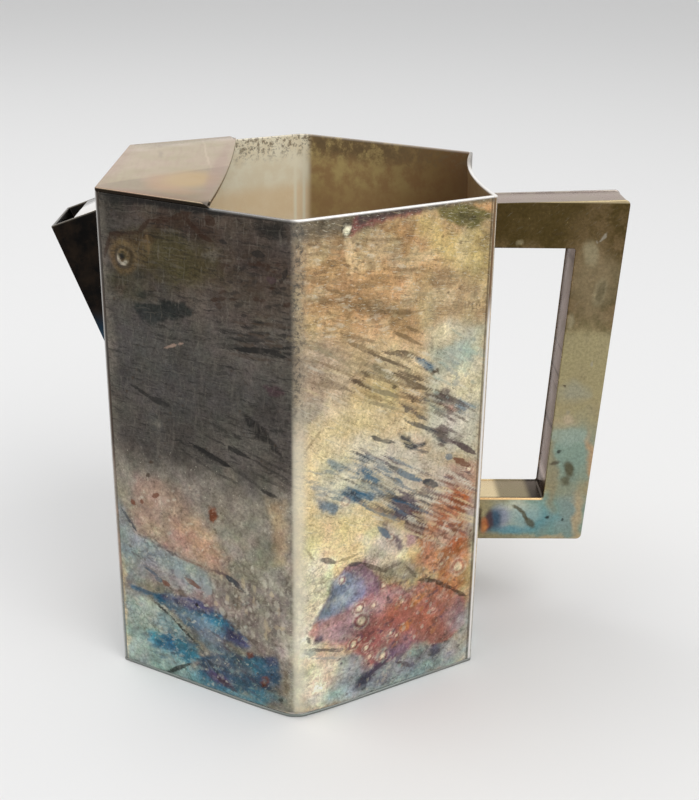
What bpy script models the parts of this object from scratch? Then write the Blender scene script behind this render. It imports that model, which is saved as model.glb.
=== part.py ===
"""Hexagonal water pitcher of soldered plated sheet, with an ice guard, a roofed spout and a box handle.

Metres, +Z up. The origin is the middle of the underside, +X runs out to the handle and -X to the spout.
Two folded walls make four of the six sides. A flat wall closes each end: the pierced one carries the
spout and the other one the handle.
"""

import math

import bmesh
import bpy
from mathutils import Vector
from mathutils.geometry import intersect_line_line

# Body
RIM_HEIGHT = 0.178
BODY_SIDE = 0.0753
WALL_SHEET = 0.0012
BASE_SHEET = 0.0012
FOLD_RADIUS = 0.007
CORNER_RADIUS = 0.001

# Film of solder in every seam
SEAM = 0.0003

# Handle wall, pushed inwards at the rim above the handle
RIM_BOW = 0.004
RIM_BOW_DEPTH = 0.060

# Ice guard, measured from the spout wall to the middle of its free edge
GUARD_SHEET = 0.0011
GUARD_REACH = 0.0405
GUARD_CROWN = 0.0018

# Spout, measured from the rim and from the face of the spout wall
SPOUT_SHEET = 0.001
SPOUT_WIDTH = 0.0282
SPOUT_DROP = 0.010
SPOUT_HEIGHT = 0.0605
SPOUT_REACH = 0.0203
SPOUT_FALL = 0.0075
ROOF_REACH = 0.0125

# Strainer, staggered rows of holes behind the spout
HOLE_DIAMETER = 0.005
HOLE_PITCH = 0.0078
HOLE_ROWS = 5
HOLES_IN_LONG_ROW = 3
STRAINER_DROP = 0.0095

# Handle, measured from the rim, the underside of the body and the face of the handle wall
HANDLE_SHEET = 0.001
HANDLE_WIDTH = 0.0175
HANDLE_DROP = 0.0095
HANDLE_RISE = 0.002
HANDLE_FOOT = 0.0365
UPPER_ARM = 0.0158
LOWER_ARM = 0.0175
REACH_AT_TOP = 0.051
REACH_AT_FOOT = 0.0443
GRIP_AT_TOP = 0.0328
GRIP_AT_FOOT = 0.0283
HANDLE_CORNER = 0.002
STRIP_INSET = 0.0004

# Fineness of the facets
ARC_STEPS = 8
BOW_STEPS = 8
HOLE_SIDES = 20
CUTTER_OVERRUN = 0.004

SLOPE = math.tan(math.radians(30))
APOTHEM = BODY_SIDE * math.cos(math.radians(30))
HALF_SIDE = BODY_SIDE / 2
WALL_FOOT = BASE_SHEET + SEAM


def clear_scene():
    for obj in list(bpy.data.objects):
        bpy.data.objects.remove(obj)


def place(name, mesh_builder, parent, colour, roughness):
    """Turns a bmesh into a named object under its parent, with a finish of its own."""
    bmesh.ops.recalc_face_normals(mesh_builder, faces=mesh_builder.faces)
    if mesh_builder.calc_volume(signed=True) < 0:
        bmesh.ops.reverse_faces(mesh_builder, faces=mesh_builder.faces)
    mesh = bpy.data.meshes.new(name)
    mesh_builder.to_mesh(mesh)
    mesh_builder.free()
    mesh.shade_smooth()
    mesh.set_sharp_from_angle(angle=math.radians(25))
    finish = bpy.data.materials.new(name + "_plate")
    finish.use_nodes = True
    shader = finish.node_tree.nodes["Principled BSDF"]
    shader.inputs["Base Color"].default_value = (*colour, 1)
    shader.inputs["Roughness"].default_value = roughness
    shader.inputs["Metallic"].default_value = 1
    mesh.materials.append(finish)
    obj = bpy.data.objects.new(name, mesh)
    obj.parent = parent
    bpy.context.collection.objects.link(obj)
    return obj


def frame_at(name, x, parent=None):
    """An empty on the X axis that pieces are measured from."""
    empty = bpy.data.objects.new(name, None)
    empty.location.x = x
    empty.parent = parent
    bpy.context.collection.objects.link(empty)
    return empty


def loft(rings):
    """Closed solid through rings that have as many points each: quads between them and a cap on each end."""
    solid = bmesh.new()
    loops = [[solid.verts.new(point) for point in ring] for ring in rings]
    for low, high in zip(loops, loops[1:]):
        for i in range(len(low)):
            solid.faces.new((low[i - 1], low[i], high[i], high[i - 1]))
    solid.faces.new(loops[0])
    solid.faces.new(loops[-1])
    return solid


def standing(outline, low, high):
    """Solid of a plan outline between two heights."""
    return loft([[(x, y, z) for x, y in outline] for z in (low, high)])


def across(outline_at, near, far):
    """Solid of a side outline between two places along Y. The outline may change with Y."""
    return loft([[(x, y, z) for x, z in outline_at(y)] for y in (near, far)])


def rounded(before, corner, after, radius):
    """Arc of the given radius that rounds one corner of an outline."""
    corner = Vector(corner)
    to_before = (Vector(before) - corner).normalized()
    to_after = (Vector(after) - corner).normalized()
    half_angle = to_before.angle(to_after) / 2
    middle = (to_before + to_after).normalized()
    centre = corner + middle * radius / math.sin(half_angle)
    start = to_before * radius / math.tan(half_angle) + corner - centre
    end = to_after * radius / math.tan(half_angle) + corner - centre
    steps = [i / ARC_STEPS for i in range(ARC_STEPS + 1)]
    return [tuple(centre + radius * start.slerp(end, step)) for step in steps]


def offset_path(path, distance):
    """Open path moved sideways, to the right of its direction, with its corners kept sharp."""
    lines = []
    for start, end in zip(path, path[1:]):
        along = (Vector(end) - Vector(start)).normalized()
        shift = Vector((along.y, -along.x)) * distance
        lines.append((Vector(start) + shift, Vector(end) + shift))
    moved = [lines[0][0]]
    for before, after in zip(lines, lines[1:]):
        crossing = intersect_line_line(*[point.to_3d() for point in before + after])
        moved.append(crossing[0].to_2d())
    moved.append(lines[-1][1])
    return [tuple(point) for point in moved]


def body_corners():
    """Corners of the plan, from the spout's front corner towards the handle and round the back."""
    return [
        (-APOTHEM, -HALF_SIDE),
        (0, -BODY_SIDE),
        (APOTHEM, -HALF_SIDE),
        (APOTHEM, HALF_SIDE),
        (0, BODY_SIDE),
        (-APOTHEM, HALF_SIDE),
    ]


def body_arc(index):
    """Rounding of one corner of the plan: wide at the two folds and small at the four soldered seams."""
    corners = body_corners()
    radius = FOLD_RADIUS if corners[index][0] == 0 else CORNER_RADIUS
    return rounded(corners[index - 1], corners[index], corners[(index + 1) % 6], radius)


def make_base(pitcher):
    outline = [point for index in range(6) for point in body_arc(index)]
    place("base_plate", standing(outline, 0, BASE_SHEET), pitcher, (0.42, 0.36, 0.28), 0.40)


def make_folded_wall(name, side, pitcher, colour):
    """Sheet folded once to 120 degrees, whose two ends butt against the inside of the end walls."""
    end = APOTHEM - WALL_SHEET - SEAM
    inner_drop = WALL_SHEET / math.cos(math.radians(30))

    def face(inset, radius):
        fold = BODY_SIDE - inset
        left = (-end, -fold + end * SLOPE)
        right = (end, -fold + end * SLOPE)
        return [left, *rounded(left, (0, -fold), right, radius), right]

    outside = face(0, FOLD_RADIUS)
    inside = face(inner_drop, FOLD_RADIUS - WALL_SHEET)
    outline = [(x, side * y) for x, y in outside + inside[::-1]]
    place(name, standing(outline, WALL_FOOT, RIM_HEIGHT), pitcher, colour, 0.30)


def rim_bow(y, z):
    """How far the handle wall is pushed in: a parabola across the wall that grows towards the rim."""
    across_wall = max(0, 1 - (y / HALF_SIDE) ** 2)
    rise = max(0, (z - RIM_HEIGHT + RIM_BOW_DEPTH) / RIM_BOW_DEPTH)
    return RIM_BOW * across_wall * rise**2


def end_wall_outline():
    """Plan of an end wall at +X. It laps the ends of both folded walls and is filed flush with them."""
    inner_x = APOTHEM - WALL_SHEET
    lap = BODY_SIDE - inner_x * SLOPE
    spread = [HALF_SIDE * (2 * i / BOW_STEPS - 1) for i in range(1, BOW_STEPS)]
    outside = body_arc(2) + [(APOTHEM, y) for y in spread] + body_arc(3)
    inside = [(inner_x, y) for y in (-lap, *spread, lap)]
    return outside + inside[::-1]


def make_handle_wall(pitcher):
    bow_foot = RIM_HEIGHT - RIM_BOW_DEPTH
    levels = [bow_foot + RIM_BOW_DEPTH * i / BOW_STEPS for i in range(BOW_STEPS + 1)]
    outline = end_wall_outline()
    rings = [[(x - rim_bow(y, z), y, z) for x, y in outline] for z in (WALL_FOOT, *levels)]
    place("handle_wall", loft(rings), pitcher, (0.40, 0.33, 0.22), 0.32)


def strainer_holes():
    """Centres of the holes, as Y and Z, in rows that alternate and step half a pitch sideways."""
    top_row = RIM_HEIGHT - SPOUT_DROP - STRAINER_DROP
    centres = []
    for row in range(HOLE_ROWS):
        count = HOLES_IN_LONG_ROW - row % 2
        start = -HOLE_PITCH * (count - 1) / 2
        centres += [(start + HOLE_PITCH * i, top_row - HOLE_PITCH * row) for i in range(count)]
    return centres


def make_spout_wall(pitcher):
    outline = [(-x, y) for x, y in end_wall_outline()]
    solid = standing(outline, WALL_FOOT, RIM_HEIGHT)
    wall = place("spout_wall", solid, pitcher, (0.30, 0.26, 0.20), 0.32)
    outer_x = -APOTHEM - CUTTER_OVERRUN
    inner_x = -APOTHEM + WALL_SHEET + CUTTER_OVERRUN
    punches = bmesh.new()
    for y, z in strainer_holes():
        loops = []
        for x in (outer_x, inner_x):
            turns = [math.tau * i / HOLE_SIDES for i in range(HOLE_SIDES)]
            radius = HOLE_DIAMETER / 2
            ring = [(x, y + radius * math.cos(turn), z + radius * math.sin(turn)) for turn in turns]
            loops.append([punches.verts.new(point) for point in ring])
        for i in range(HOLE_SIDES):
            punches.faces.new((loops[0][i - 1], loops[0][i], loops[1][i], loops[1][i - 1]))
        punches.faces.new(loops[0])
        punches.faces.new(loops[1])
    cutter = place("strainer_punches", punches, pitcher, (0.5, 0.5, 0.5), 0.5)
    cutter.hide_render = True
    cutter.display_type = "WIRE"
    piercing = wall.modifiers.new("piercing", "BOOLEAN")
    piercing.operation = "DIFFERENCE"
    piercing.solver = "EXACT"
    piercing.object = cutter


def make_ice_guard(pitcher):
    """Plate on the rim, flush with three walls, whose free edge crosses the mouth in a shallow curve."""
    end_x = GUARD_REACH - GUARD_CROWN - APOTHEM
    end_y = BODY_SIDE + end_x * SLOPE
    steps = 2 * ARC_STEPS
    spread = [1 - 2 * i / steps for i in range(steps + 1)]
    free_edge = [(end_x + GUARD_CROWN * (1 - t * t), end_y * t) for t in spread]
    outline = free_edge + body_arc(0)[::-1] + body_arc(5)[::-1]
    low = RIM_HEIGHT + SEAM
    place("ice_guard", standing(outline, low, low + GUARD_SHEET), pitcher, (0.74, 0.71, 0.67), 0.14)


def spout_top(out):
    """Height of the spout's top edges at a distance out from the wall."""
    return RIM_HEIGHT - SPOUT_DROP - SPOUT_FALL * out / SPOUT_REACH


def make_spout(pitcher):
    """Folded trough with two triangular cheeks and a sloped front, and the roof between its cheeks."""
    mount = frame_at("spout_face", -APOTHEM, pitcher)
    head = spout_top(SEAM)
    foot = RIM_HEIGHT - SPOUT_DROP - SPOUT_HEIGHT
    lip = (-SPOUT_REACH, spout_top(SPOUT_REACH))
    front = [(-SEAM, foot), lip]
    inner_foot, inner_lip = offset_path(front, SPOUT_SHEET)
    lip_run = (Vector(inner_lip) - Vector(inner_foot)).to_3d()
    start = Vector(inner_foot).to_3d()
    top_edge = [Vector((0, spout_top(0), 0)), Vector((*lip, 0))]
    inner_lip = intersect_line_line(start, start + lip_run, *top_edge)[0].to_2d()
    back_line = [Vector((-SEAM, 0, 0)), Vector((-SEAM, head, 0))]
    inner_foot = intersect_line_line(start, start + lip_run, *back_line)[0].to_2d()
    half = SPOUT_WIDTH / 2
    trough = bmesh.new()

    def corners(points, y):
        return [trough.verts.new((x, y, z)) for x, z in points]

    outer = [(-SEAM, head), lip, (-SEAM, foot)]
    inner = [(-SEAM, head), inner_lip, inner_foot]
    near_out, near_in = corners(outer, -half), corners(inner, SPOUT_SHEET - half)
    far_out, far_in = corners(outer, half), corners(inner, half - SPOUT_SHEET)
    for cheek in (near_out, near_in, far_out, far_in):
        trough.faces.new(cheek)
    trough.faces.new((near_out[1], near_out[2], far_out[2], far_out[1]))
    trough.faces.new((near_in[1], near_in[2], far_in[2], far_in[1]))
    for tip in (1, 2):
        rim = [near_out[0], near_out[tip], far_out[tip], far_out[0]]
        trough.faces.new(rim + [far_in[0], far_in[tip], near_in[tip], near_in[0]])
    place("spout_trough", trough, mount, (0.10, 0.09, 0.08), 0.28)

    def roof_outline(y):
        ends = [(-out, spout_top(out)) for out in (SEAM, ROOF_REACH)]
        return ends + [(x, z - SPOUT_SHEET) for x, z in ends[::-1]]

    roof_half = half - SPOUT_SHEET - SEAM
    place("spout_roof", across(roof_outline, -roof_half, roof_half), mount, (0.66, 0.64, 0.61), 0.18)


def handle_paths():
    """Outer and inner side paths of the handle, each from the upper arm's root to the lower arm's root."""
    top = RIM_HEIGHT - HANDLE_DROP
    under = top - UPPER_ARM
    seat = HANDLE_FOOT + LOWER_ARM
    outer = [(0, top), (REACH_AT_TOP, top + HANDLE_RISE), (REACH_AT_FOOT, HANDLE_FOOT), (0, HANDLE_FOOT)]
    inner = [(0, under), (GRIP_AT_TOP, under), (GRIP_AT_FOOT, seat), (0, seat)]
    return outer, inner


def root_x(y, z):
    """Where an arm of the handle ends, a seam away from the wall."""
    return SEAM - rim_bow(y, z)


def with_corners(path, radius):
    """The path with its two bends rounded."""
    first, second = (rounded(*path[i : i + 3], radius) for i in (0, 1))
    return [path[0], *first, *second, path[-1]]


def on_wall(path, y):
    """The path with its ends moved to the wall."""
    (_, start_z), *middle, (_, end_z) = path
    return [(root_x(y, start_z), start_z), *middle, (root_x(y, end_z), end_z)]


def make_handle(pitcher):
    """Hollow box handle: two C-shaped cheeks, and two folded strips set in between their edges."""
    mount = frame_at("handle_face", APOTHEM, pitcher)
    outer, inner = handle_paths()

    def cheek(y):
        outside = on_wall(with_corners(outer, HANDLE_CORNER), y)
        inside = on_wall(inner, y)
        top, under = outer[0][1], inner[0][1]
        root = [under + (top - under) * i / BOW_STEPS for i in range(1, BOW_STEPS)]
        return outside + inside[::-1] + [(root_x(y, z), z) for z in root]

    def outer_strip(y):
        depths = (STRIP_INSET, STRIP_INSET + HANDLE_SHEET)
        faces = [with_corners(offset_path(outer, depth), HANDLE_CORNER) for depth in depths]
        return on_wall(faces[0], y) + on_wall(faces[1], y)[::-1]

    def inner_strip(y):
        depths = (STRIP_INSET, STRIP_INSET + HANDLE_SHEET)
        faces = [offset_path(inner, -depth) for depth in depths]
        return on_wall(faces[0], y) + on_wall(faces[1], y)[::-1]

    half = HANDLE_WIDTH / 2
    strip_half = half - HANDLE_SHEET - SEAM
    place("handle_front_cheek", across(cheek, -half, HANDLE_SHEET - half), mount, (0.34, 0.29, 0.18), 0.34)
    place("handle_back_cheek", across(cheek, half - HANDLE_SHEET, half), mount, (0.34, 0.29, 0.18), 0.34)
    place("handle_outer_strip", across(outer_strip, -strip_half, strip_half), mount, (0.52, 0.46, 0.38), 0.30)
    place("handle_inner_strip", across(inner_strip, -strip_half, strip_half), mount, (0.44, 0.39, 0.33), 0.30)


def main():
    clear_scene()
    pitcher = frame_at("pitcher", 0)
    make_base(pitcher)
    make_folded_wall("front_wall", 1, pitcher, (0.36, 0.30, 0.22))
    make_folded_wall("back_wall", -1, pitcher, (0.45, 0.38, 0.26))
    make_spout_wall(pitcher)
    make_handle_wall(pitcher)
    make_ice_guard(pitcher)
    make_spout(pitcher)
    make_handle(pitcher)


main()
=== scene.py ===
"""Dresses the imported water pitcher: fine sheet-metal surfaces, tarnished silver plate and a pale studio."""

import math
from typing import NamedTuple

import bpy
import numpy as np
from bpy.props import FloatProperty, FloatVectorProperty, PointerProperty
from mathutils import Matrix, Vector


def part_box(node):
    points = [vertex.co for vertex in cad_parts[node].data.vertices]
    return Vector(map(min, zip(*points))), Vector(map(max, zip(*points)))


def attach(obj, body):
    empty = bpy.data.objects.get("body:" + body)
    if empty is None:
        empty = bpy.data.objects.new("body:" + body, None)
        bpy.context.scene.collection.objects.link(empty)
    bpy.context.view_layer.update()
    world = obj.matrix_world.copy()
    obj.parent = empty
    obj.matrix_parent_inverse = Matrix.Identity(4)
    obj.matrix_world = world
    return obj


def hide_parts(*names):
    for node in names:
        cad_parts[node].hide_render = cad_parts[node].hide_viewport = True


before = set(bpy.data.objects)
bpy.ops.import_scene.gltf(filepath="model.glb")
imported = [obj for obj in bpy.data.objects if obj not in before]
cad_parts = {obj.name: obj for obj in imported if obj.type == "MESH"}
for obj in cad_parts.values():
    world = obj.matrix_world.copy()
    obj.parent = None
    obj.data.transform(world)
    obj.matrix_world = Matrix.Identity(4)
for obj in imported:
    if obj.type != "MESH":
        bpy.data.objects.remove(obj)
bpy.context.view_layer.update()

bl_info = {
    "name": "Tarnished water pitcher",
    "version": (1, 0, 0),
    "blender": (4, 5, 0),
    "location": "View3D > Sidebar > Pitcher",
    "description": "Builds the sheet-metal pieces, the tarnish and the studio of a hexagonal water pitcher",
    "category": "Add Mesh",
}

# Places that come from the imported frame
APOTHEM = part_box("base_plate")[1][0]
BASE_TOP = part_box("base_plate")[1][2]
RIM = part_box("front_wall")[1][2]
GUARD_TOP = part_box("ice_guard")[1][2]
GUARD_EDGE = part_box("ice_guard")[1][0]
SPOUT_LIP, SPOUT_ROOT = (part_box("spout_trough")[i][0] for i in (0, 1))
SPOUT_FOOT, SPOUT_HEAD = (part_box("spout_trough")[i][2] for i in (0, 1))
SPOUT_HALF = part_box("spout_trough")[1][1]
ROOF_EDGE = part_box("spout_roof")[0][0]
HANDLE_FOOT, HANDLE_PEAK = (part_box("handle_front_cheek")[i][2] for i in (0, 1))
HANDLE_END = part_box("handle_front_cheek")[1][0]
HANDLE_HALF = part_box("handle_back_cheek")[1][1]

SLOPE = math.tan(math.radians(30))
COS30 = math.cos(math.radians(30))
SIDE = APOTHEM / COS30
MM = 1000.0

# Fineness of the painted walls, and small radii
FRONT_STEP, FRONT_LEVELS = 0.0006, 292
WALL_STEP, WALL_LEVELS = 0.0008, 222
INSIDE_STEP = 0.003
GRIP_BEND = 0.0008
ROOF_SHEET, ROOF_ROUND = 0.001, 0.0003

# Middle of the blister, in millimetres along the left face and up it
BLISTER_ALONG, BLISTER_UP = -64.9, 157.3


# Settings

def length(name, default, description):
    return FloatProperty(name=name, description=description, default=default, unit="LENGTH", precision=5)


def number(name, default, description):
    return FloatProperty(name=name, description=description, default=default)


def colour(name, default):
    return FloatVectorProperty(
        name=name,
        description=name + " of the tarnish or the metal",
        default=default,
        subtype="COLOR",
        min=0,
        max=1,
    )


class PitcherSizes(bpy.types.PropertyGroup):
    """Sizes of the dressed sheet that the frame's boxes don't give."""

    sheet: length("Wall sheet", 0.0012, "Thickness of the wall sheet")
    thin_sheet: length("Thin sheet", 0.001, "Thickness of the sheet of the spout and the handle")
    edge: length("Edge round", 0.0004, "Radius on the cut edges of the sheet")
    fold_radius: length("Fold radius", 0.007, "Outside radius of the fold in the front and back walls")
    corner_radius: length("Corner radius", 0.001, "Radius that the soldered corners are filed to")
    seam: length("Seam", 0.0001, "Groove left where two sheets are soldered edge to edge")
    rim_bow: length("Rim bow", 0.004, "How far the rim over the handle is pushed in")
    rim_bow_depth: length("Bow depth", 0.060, "How far down the handle wall that push is felt")
    guard_crown: length("Guard crown", 0.0018, "How far the guard's free edge stands ahead of its ends")
    guard_ramp: length("Guard ramp", 0.0022, "Length of the filed ramp at the ends of the guard's free edge")
    ripple: length("Ripple", 0.00022, "Unevenness of the beaten walls")
    worn_lift: length("Worn corner", 0.0014, "How far the foot of the front fold is worn up")
    worn_reach: length("Worn reach", 0.020, "How far to each side the worn foot reaches")
    blister: length("Blister", 0.0007, "Height of the round blister on the left face")
    spout_fall: length("Spout fall", 0.0075, "How far the spout's top edges fall from the wall to the lip")
    handle_drop: length("Handle drop", 0.0095, "Rim down to the top of the handle's upper arm")
    upper_arm: length("Upper arm", 0.0158, "Depth of the handle's upper arm")
    lower_arm: length("Lower arm", 0.0175, "Depth of the handle's lower arm")
    reach_at_foot: length("Reach at foot", 0.0443, "Wall to the outside of the leg at the lower arm")
    grip_at_top: length("Grip at top", 0.0328, "Wall to the inside of the leg under the upper arm")
    grip_at_foot: length("Grip at foot", 0.0283, "Wall to the inside of the leg at the lower arm")
    handle_corner: length("Handle corner", 0.002, "Radius of the handle's two outer corners")
    strip_inset: length("Strip inset", 0.0002, "How far the strips sit in from the edges of the cheeks")


class PlateColours(bpy.types.PropertyGroup):
    """Colours of the plate and of its tarnish, and of the highlights, reflections and shade painted on it."""

    silver: colour("Silver", (0.8, 0.78, 0.75))
    putty: colour("Putty", (0.52, 0.475, 0.415))
    bright: colour("Bright silver", (0.92, 0.9, 0.87))
    gunmetal: colour("Gunmetal", (0.08, 0.072, 0.064))
    steel: colour("Steel grey", (0.068, 0.066, 0.062))
    soot: colour("Soot", (0.022, 0.021, 0.02))
    smoke: colour("Smoke green", (0.022, 0.026, 0.024))
    umber: colour("Umber", (0.066, 0.046, 0.033))
    brown: colour("Smoke brown", (0.082, 0.06, 0.047))
    olive: colour("Olive", (0.068, 0.057, 0.028))
    russet: colour("Russet", (0.040, 0.020, 0.013))
    sienna: colour("Sienna", (0.17, 0.065, 0.038))
    salmon: colour("Salmon", (0.4, 0.28, 0.215))
    taupe: colour("Taupe", (0.225, 0.2, 0.165))
    stone: colour("Stone", (0.29, 0.265, 0.21))
    sand: colour("Sand", (0.5, 0.39, 0.28))
    fog: colour("Blue fog", (0.25, 0.29, 0.28))
    ink: colour("Ink", (0.032, 0.042, 0.056))
    blue: colour("Deep blue", (0.035, 0.12, 0.2))
    navy: colour("Navy", (0.038, 0.085, 0.135))
    denim: colour("Denim", (0.12, 0.18, 0.23))
    aqua: colour("Aqua", (0.3, 0.44, 0.4))
    teal: colour("Teal", (0.075, 0.27, 0.35))
    mint: colour("Mint", (0.34, 0.4, 0.345))
    plum: colour("Plum", (0.08, 0.05, 0.055))
    rose: colour("Rose tan", (0.57, 0.34, 0.165))
    gold: colour("Gold", (0.56, 0.43, 0.185))
    moss: colour("Moss", (0.15, 0.13, 0.05))
    honey: colour("Honey", (0.51, 0.365, 0.2))
    cream: colour("Cream", (0.74, 0.61, 0.37))
    straw: colour("Straw", (0.8, 0.66, 0.36))
    ivory: colour("Ivory", (0.92, 0.82, 0.6))
    shell: colour("Shell", (0.98, 0.91, 0.7))
    bronze: colour("Bronze", (0.40, 0.25, 0.11))
    cocoa: colour("Cocoa", (0.135, 0.065, 0.02))
    apricot: colour("Apricot", (0.88, 0.6, 0.3))
    sky: colour("Pale sky", (0.49, 0.495, 0.385))
    haze: colour("Haze blue", (0.29, 0.33, 0.33))
    mist: colour("Mist blue", (0.36, 0.42, 0.46))
    moon: colour("Moon grey", (0.62, 0.57, 0.47))
    orchid: colour("Orchid", (0.46, 0.31, 0.34))
    violet: colour("Violet", (0.095, 0.075, 0.1))
    grape: colour("Grape", (0.085, 0.06, 0.115))
    iris: colour("Iris", (0.23, 0.25, 0.33))
    rust: colour("Rust", (0.47, 0.22, 0.125))
    maroon: colour("Maroon", (0.41, 0.19, 0.15))
    wine: colour("Wine", (0.25, 0.085, 0.08))
    mauve: colour("Mauve", (0.37, 0.24, 0.24))
    lilac: colour("Lilac", (0.24, 0.17, 0.21))
    burnt: colour("Burnt orange", (0.43, 0.14, 0.055))
    slate: colour("Slate", (0.31, 0.34, 0.34))
    amber: colour("Amber", (0.56, 0.26, 0.095))
    bark: colour("Bark", (0.17, 0.115, 0.058))
    ochre: colour("Ochre", (0.17, 0.115, 0.055))
    pearl: colour("Pearl", (0.74, 0.7, 0.56))
    khaki: colour("Khaki", (0.27, 0.23, 0.14))
    sepia: colour("Sepia", (0.085, 0.068, 0.034))
    tobacco: colour("Tobacco", (0.068, 0.047, 0.016))
    sage: colour("Sage", (0.315, 0.27, 0.145))
    ash: colour("Ash", (0.47, 0.41, 0.385))
    sea: colour("Sea green", (0.19, 0.31, 0.275))


class StudioSettings(bpy.types.PropertyGroup):
    """Camera and lights."""

    place: FloatVectorProperty(
        name="Camera",
        description="Place of the camera",
        default=(0.0096, -0.4290, 0.2642),
        unit="LENGTH",
        precision=4,
    )
    yaw: number("Yaw", 1.22, "Camera turned to the right, in degrees")
    pitch: number("Pitch", 22.0, "Camera tipped down, in degrees")
    roll: number("Roll", 0.83, "Camera rolled, in degrees")
    lens: number("Lens", 54.98, "Focal length for a 36 mm high frame, in millimetres")
    sky_level: number("Sky level", 0.62, "Strength of the light from all round")
    key_power: number("Key power", 16.0, "Power of the large lamp in front, in watts")
    top_power: number("Top power", 14.0, "Power of the large lamp above, in watts")
    floor_reach: length("Floor reach", 8.0, "How far the floor goes from the middle")
    floor_shade: FloatVectorProperty(
        name="Floor",
        description="Colour of the floor",
        default=(0.80, 0.80, 0.80),
        subtype="COLOR",
        min=0,
        max=1,
    )


def sizes():
    return bpy.context.scene.pitcher_sizes


def tint(name):
    """A named colour with its alpha."""
    return (*getattr(bpy.context.scene.pitcher_colours, name), 1.0)


# Outlines and solids

def arc(before, corner, after, radius, steps=12):
    """Rounded corner: points at equal angles on the circle that touches both sides."""
    before, corner, after = (np.asarray(point, float) for point in (before, corner, after))
    back = (before - corner) / np.linalg.norm(before - corner)
    on = (after - corner) / np.linalg.norm(after - corner)
    half = np.arccos(np.clip(back @ on, -1, 1)) / 2
    middle = (back + on) / np.linalg.norm(back + on)
    centre = corner + middle * radius / np.sin(half)
    start = corner + back * radius / np.tan(half) - centre
    end = corner + on * radius / np.tan(half) - centre
    first, last = np.arctan2(start[1], start[0]), np.arctan2(end[1], end[0])
    sweep = (last - first + np.pi) % (2 * np.pi) - np.pi
    angles = first + sweep * np.linspace(0, 1, steps + 1)
    return centre + radius * np.stack([np.cos(angles), np.sin(angles)], 1)


def spaced(path, step):
    """Open path with points added along its sides, no further apart than step."""
    path = np.asarray(path, float)
    runs = []
    for start, end in zip(path, path[1:]):
        count = max(1, math.ceil(np.linalg.norm(end - start) / step))
        runs.append(np.linspace(start, end, count, endpoint=False))
    return np.vstack([*runs, path[-1:]])


def mitres(outline):
    """Inward step of each point of a closed anticlockwise outline that moves both its sides in by one."""
    along = np.roll(outline, -1, 0) - outline
    along /= np.linalg.norm(along, axis=1, keepdims=True)
    after = np.stack([-along[:, 1], along[:, 0]], 1)
    before = np.roll(after, 1, 0)
    return (before + after) / (1 + np.sum(before * after, 1, keepdims=True))


def slab(outline, low, high, edge, levels=2, edge_steps=3):
    """Solid of an anticlockwise outline with rounded edges.

    S(i, t) is point i of the outline, moved in by e(t), at height z(t). The pair (e, z) runs up a quarter
    circle of radius edge, up the side in the given number of levels, and round another quarter circle.
    """
    outline = np.asarray(outline, float)
    turn = np.linspace(0, np.pi / 2, edge_steps + 1)
    move, climb = edge * (1 - np.sin(turn)), edge * (1 - np.cos(turn))
    side = np.linspace(low + edge, high - edge, levels)[1:-1]
    depth = np.concatenate([move, np.zeros(len(side)), move[::-1]])
    height = np.concatenate([low + climb, side, high - climb[::-1]])
    rings = outline + depth[:, None, None] * mitres(outline)
    tall = np.broadcast_to(height[:, None, None], (*rings.shape[:2], 1))
    points = np.concatenate([rings, tall], 2)
    count, around = points.shape[:2]
    index = np.arange(count * around).reshape(count, around)
    turned = np.roll(index, -1, 1)
    quads = np.stack([index[:-1], turned[:-1], turned[1:], index[1:]], -1).reshape(-1, 4)
    return points.reshape(-1, 3), quads.tolist() + [index[0, ::-1].tolist(), index[-1].tolist()]


def lying(points):
    """A slab drawn in (x, z) and raised along -Y, in place of (x, y) raised along Z."""
    return points[:, [0, 2, 1]] * (1, -1, 1)


def piece(name, points, faces, finishes, replaced, inner=None, paint=None):
    """Makes the mesh object, dresses it and ties it to the frame.

    inner marks the faces of the second finish, and paint is the tarnish of the vertices, with painted
    highlights in places.
    """
    mesh = bpy.data.meshes.new(name)
    mesh.from_pydata(np.asarray(points), [], faces)
    for finish in finishes:
        mesh.materials.append(finish)
    if inner is not None:
        mesh.polygons.foreach_set("material_index", inner.astype(np.int32))
    if paint is not None:
        colours = {"tarnish": np.insert(paint.colour, 3, 1.0, 1), "mark": paint.mark, "drawn": paint.drawn}
        for layer, values in colours.items():
            mesh.attributes.new(layer, "FLOAT_COLOR", "POINT").data.foreach_set("color", values.ravel())
        face = np.stack([paint.along, paint.up, paint.gap], 1)
        mesh.attributes.new("face", "FLOAT_VECTOR", "POINT").data.foreach_set("vector", face.ravel())
    mesh.shade_smooth()
    mesh.set_sharp_from_angle(angle=math.radians(32))
    made = bpy.data.objects.new(name, mesh)
    bpy.context.collection.objects.link(made)
    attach(made, "root")
    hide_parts(*replaced)
    return made


def plan_corners(side=SIDE):
    """Corners of the hexagonal plan, anticlockwise from the spout's front corner."""
    half, across = side / 2, side * COS30
    return np.array(
        [(-across, -half), (0, -side), (across, -half), (across, half), (0, side), (-across, half)]
    )


def plan_arc(index, radius):
    """One rounded corner of the plan."""
    corners = plan_corners()
    return arc(corners[index - 1], corners[index], corners[(index + 1) % 6], radius)


def rim_bow(y, z):
    """Push of the handle wall: a parabola across the wall that grows with the square of the height."""
    across = np.clip(1 - (y / (SIDE / 2)) ** 2, 0, None)
    rise = np.clip((z - RIM) / sizes().rim_bow_depth + 1, 0, None)
    return sizes().rim_bow * across * rise**2


# Tarnish painted on the vertices of a wall

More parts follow.
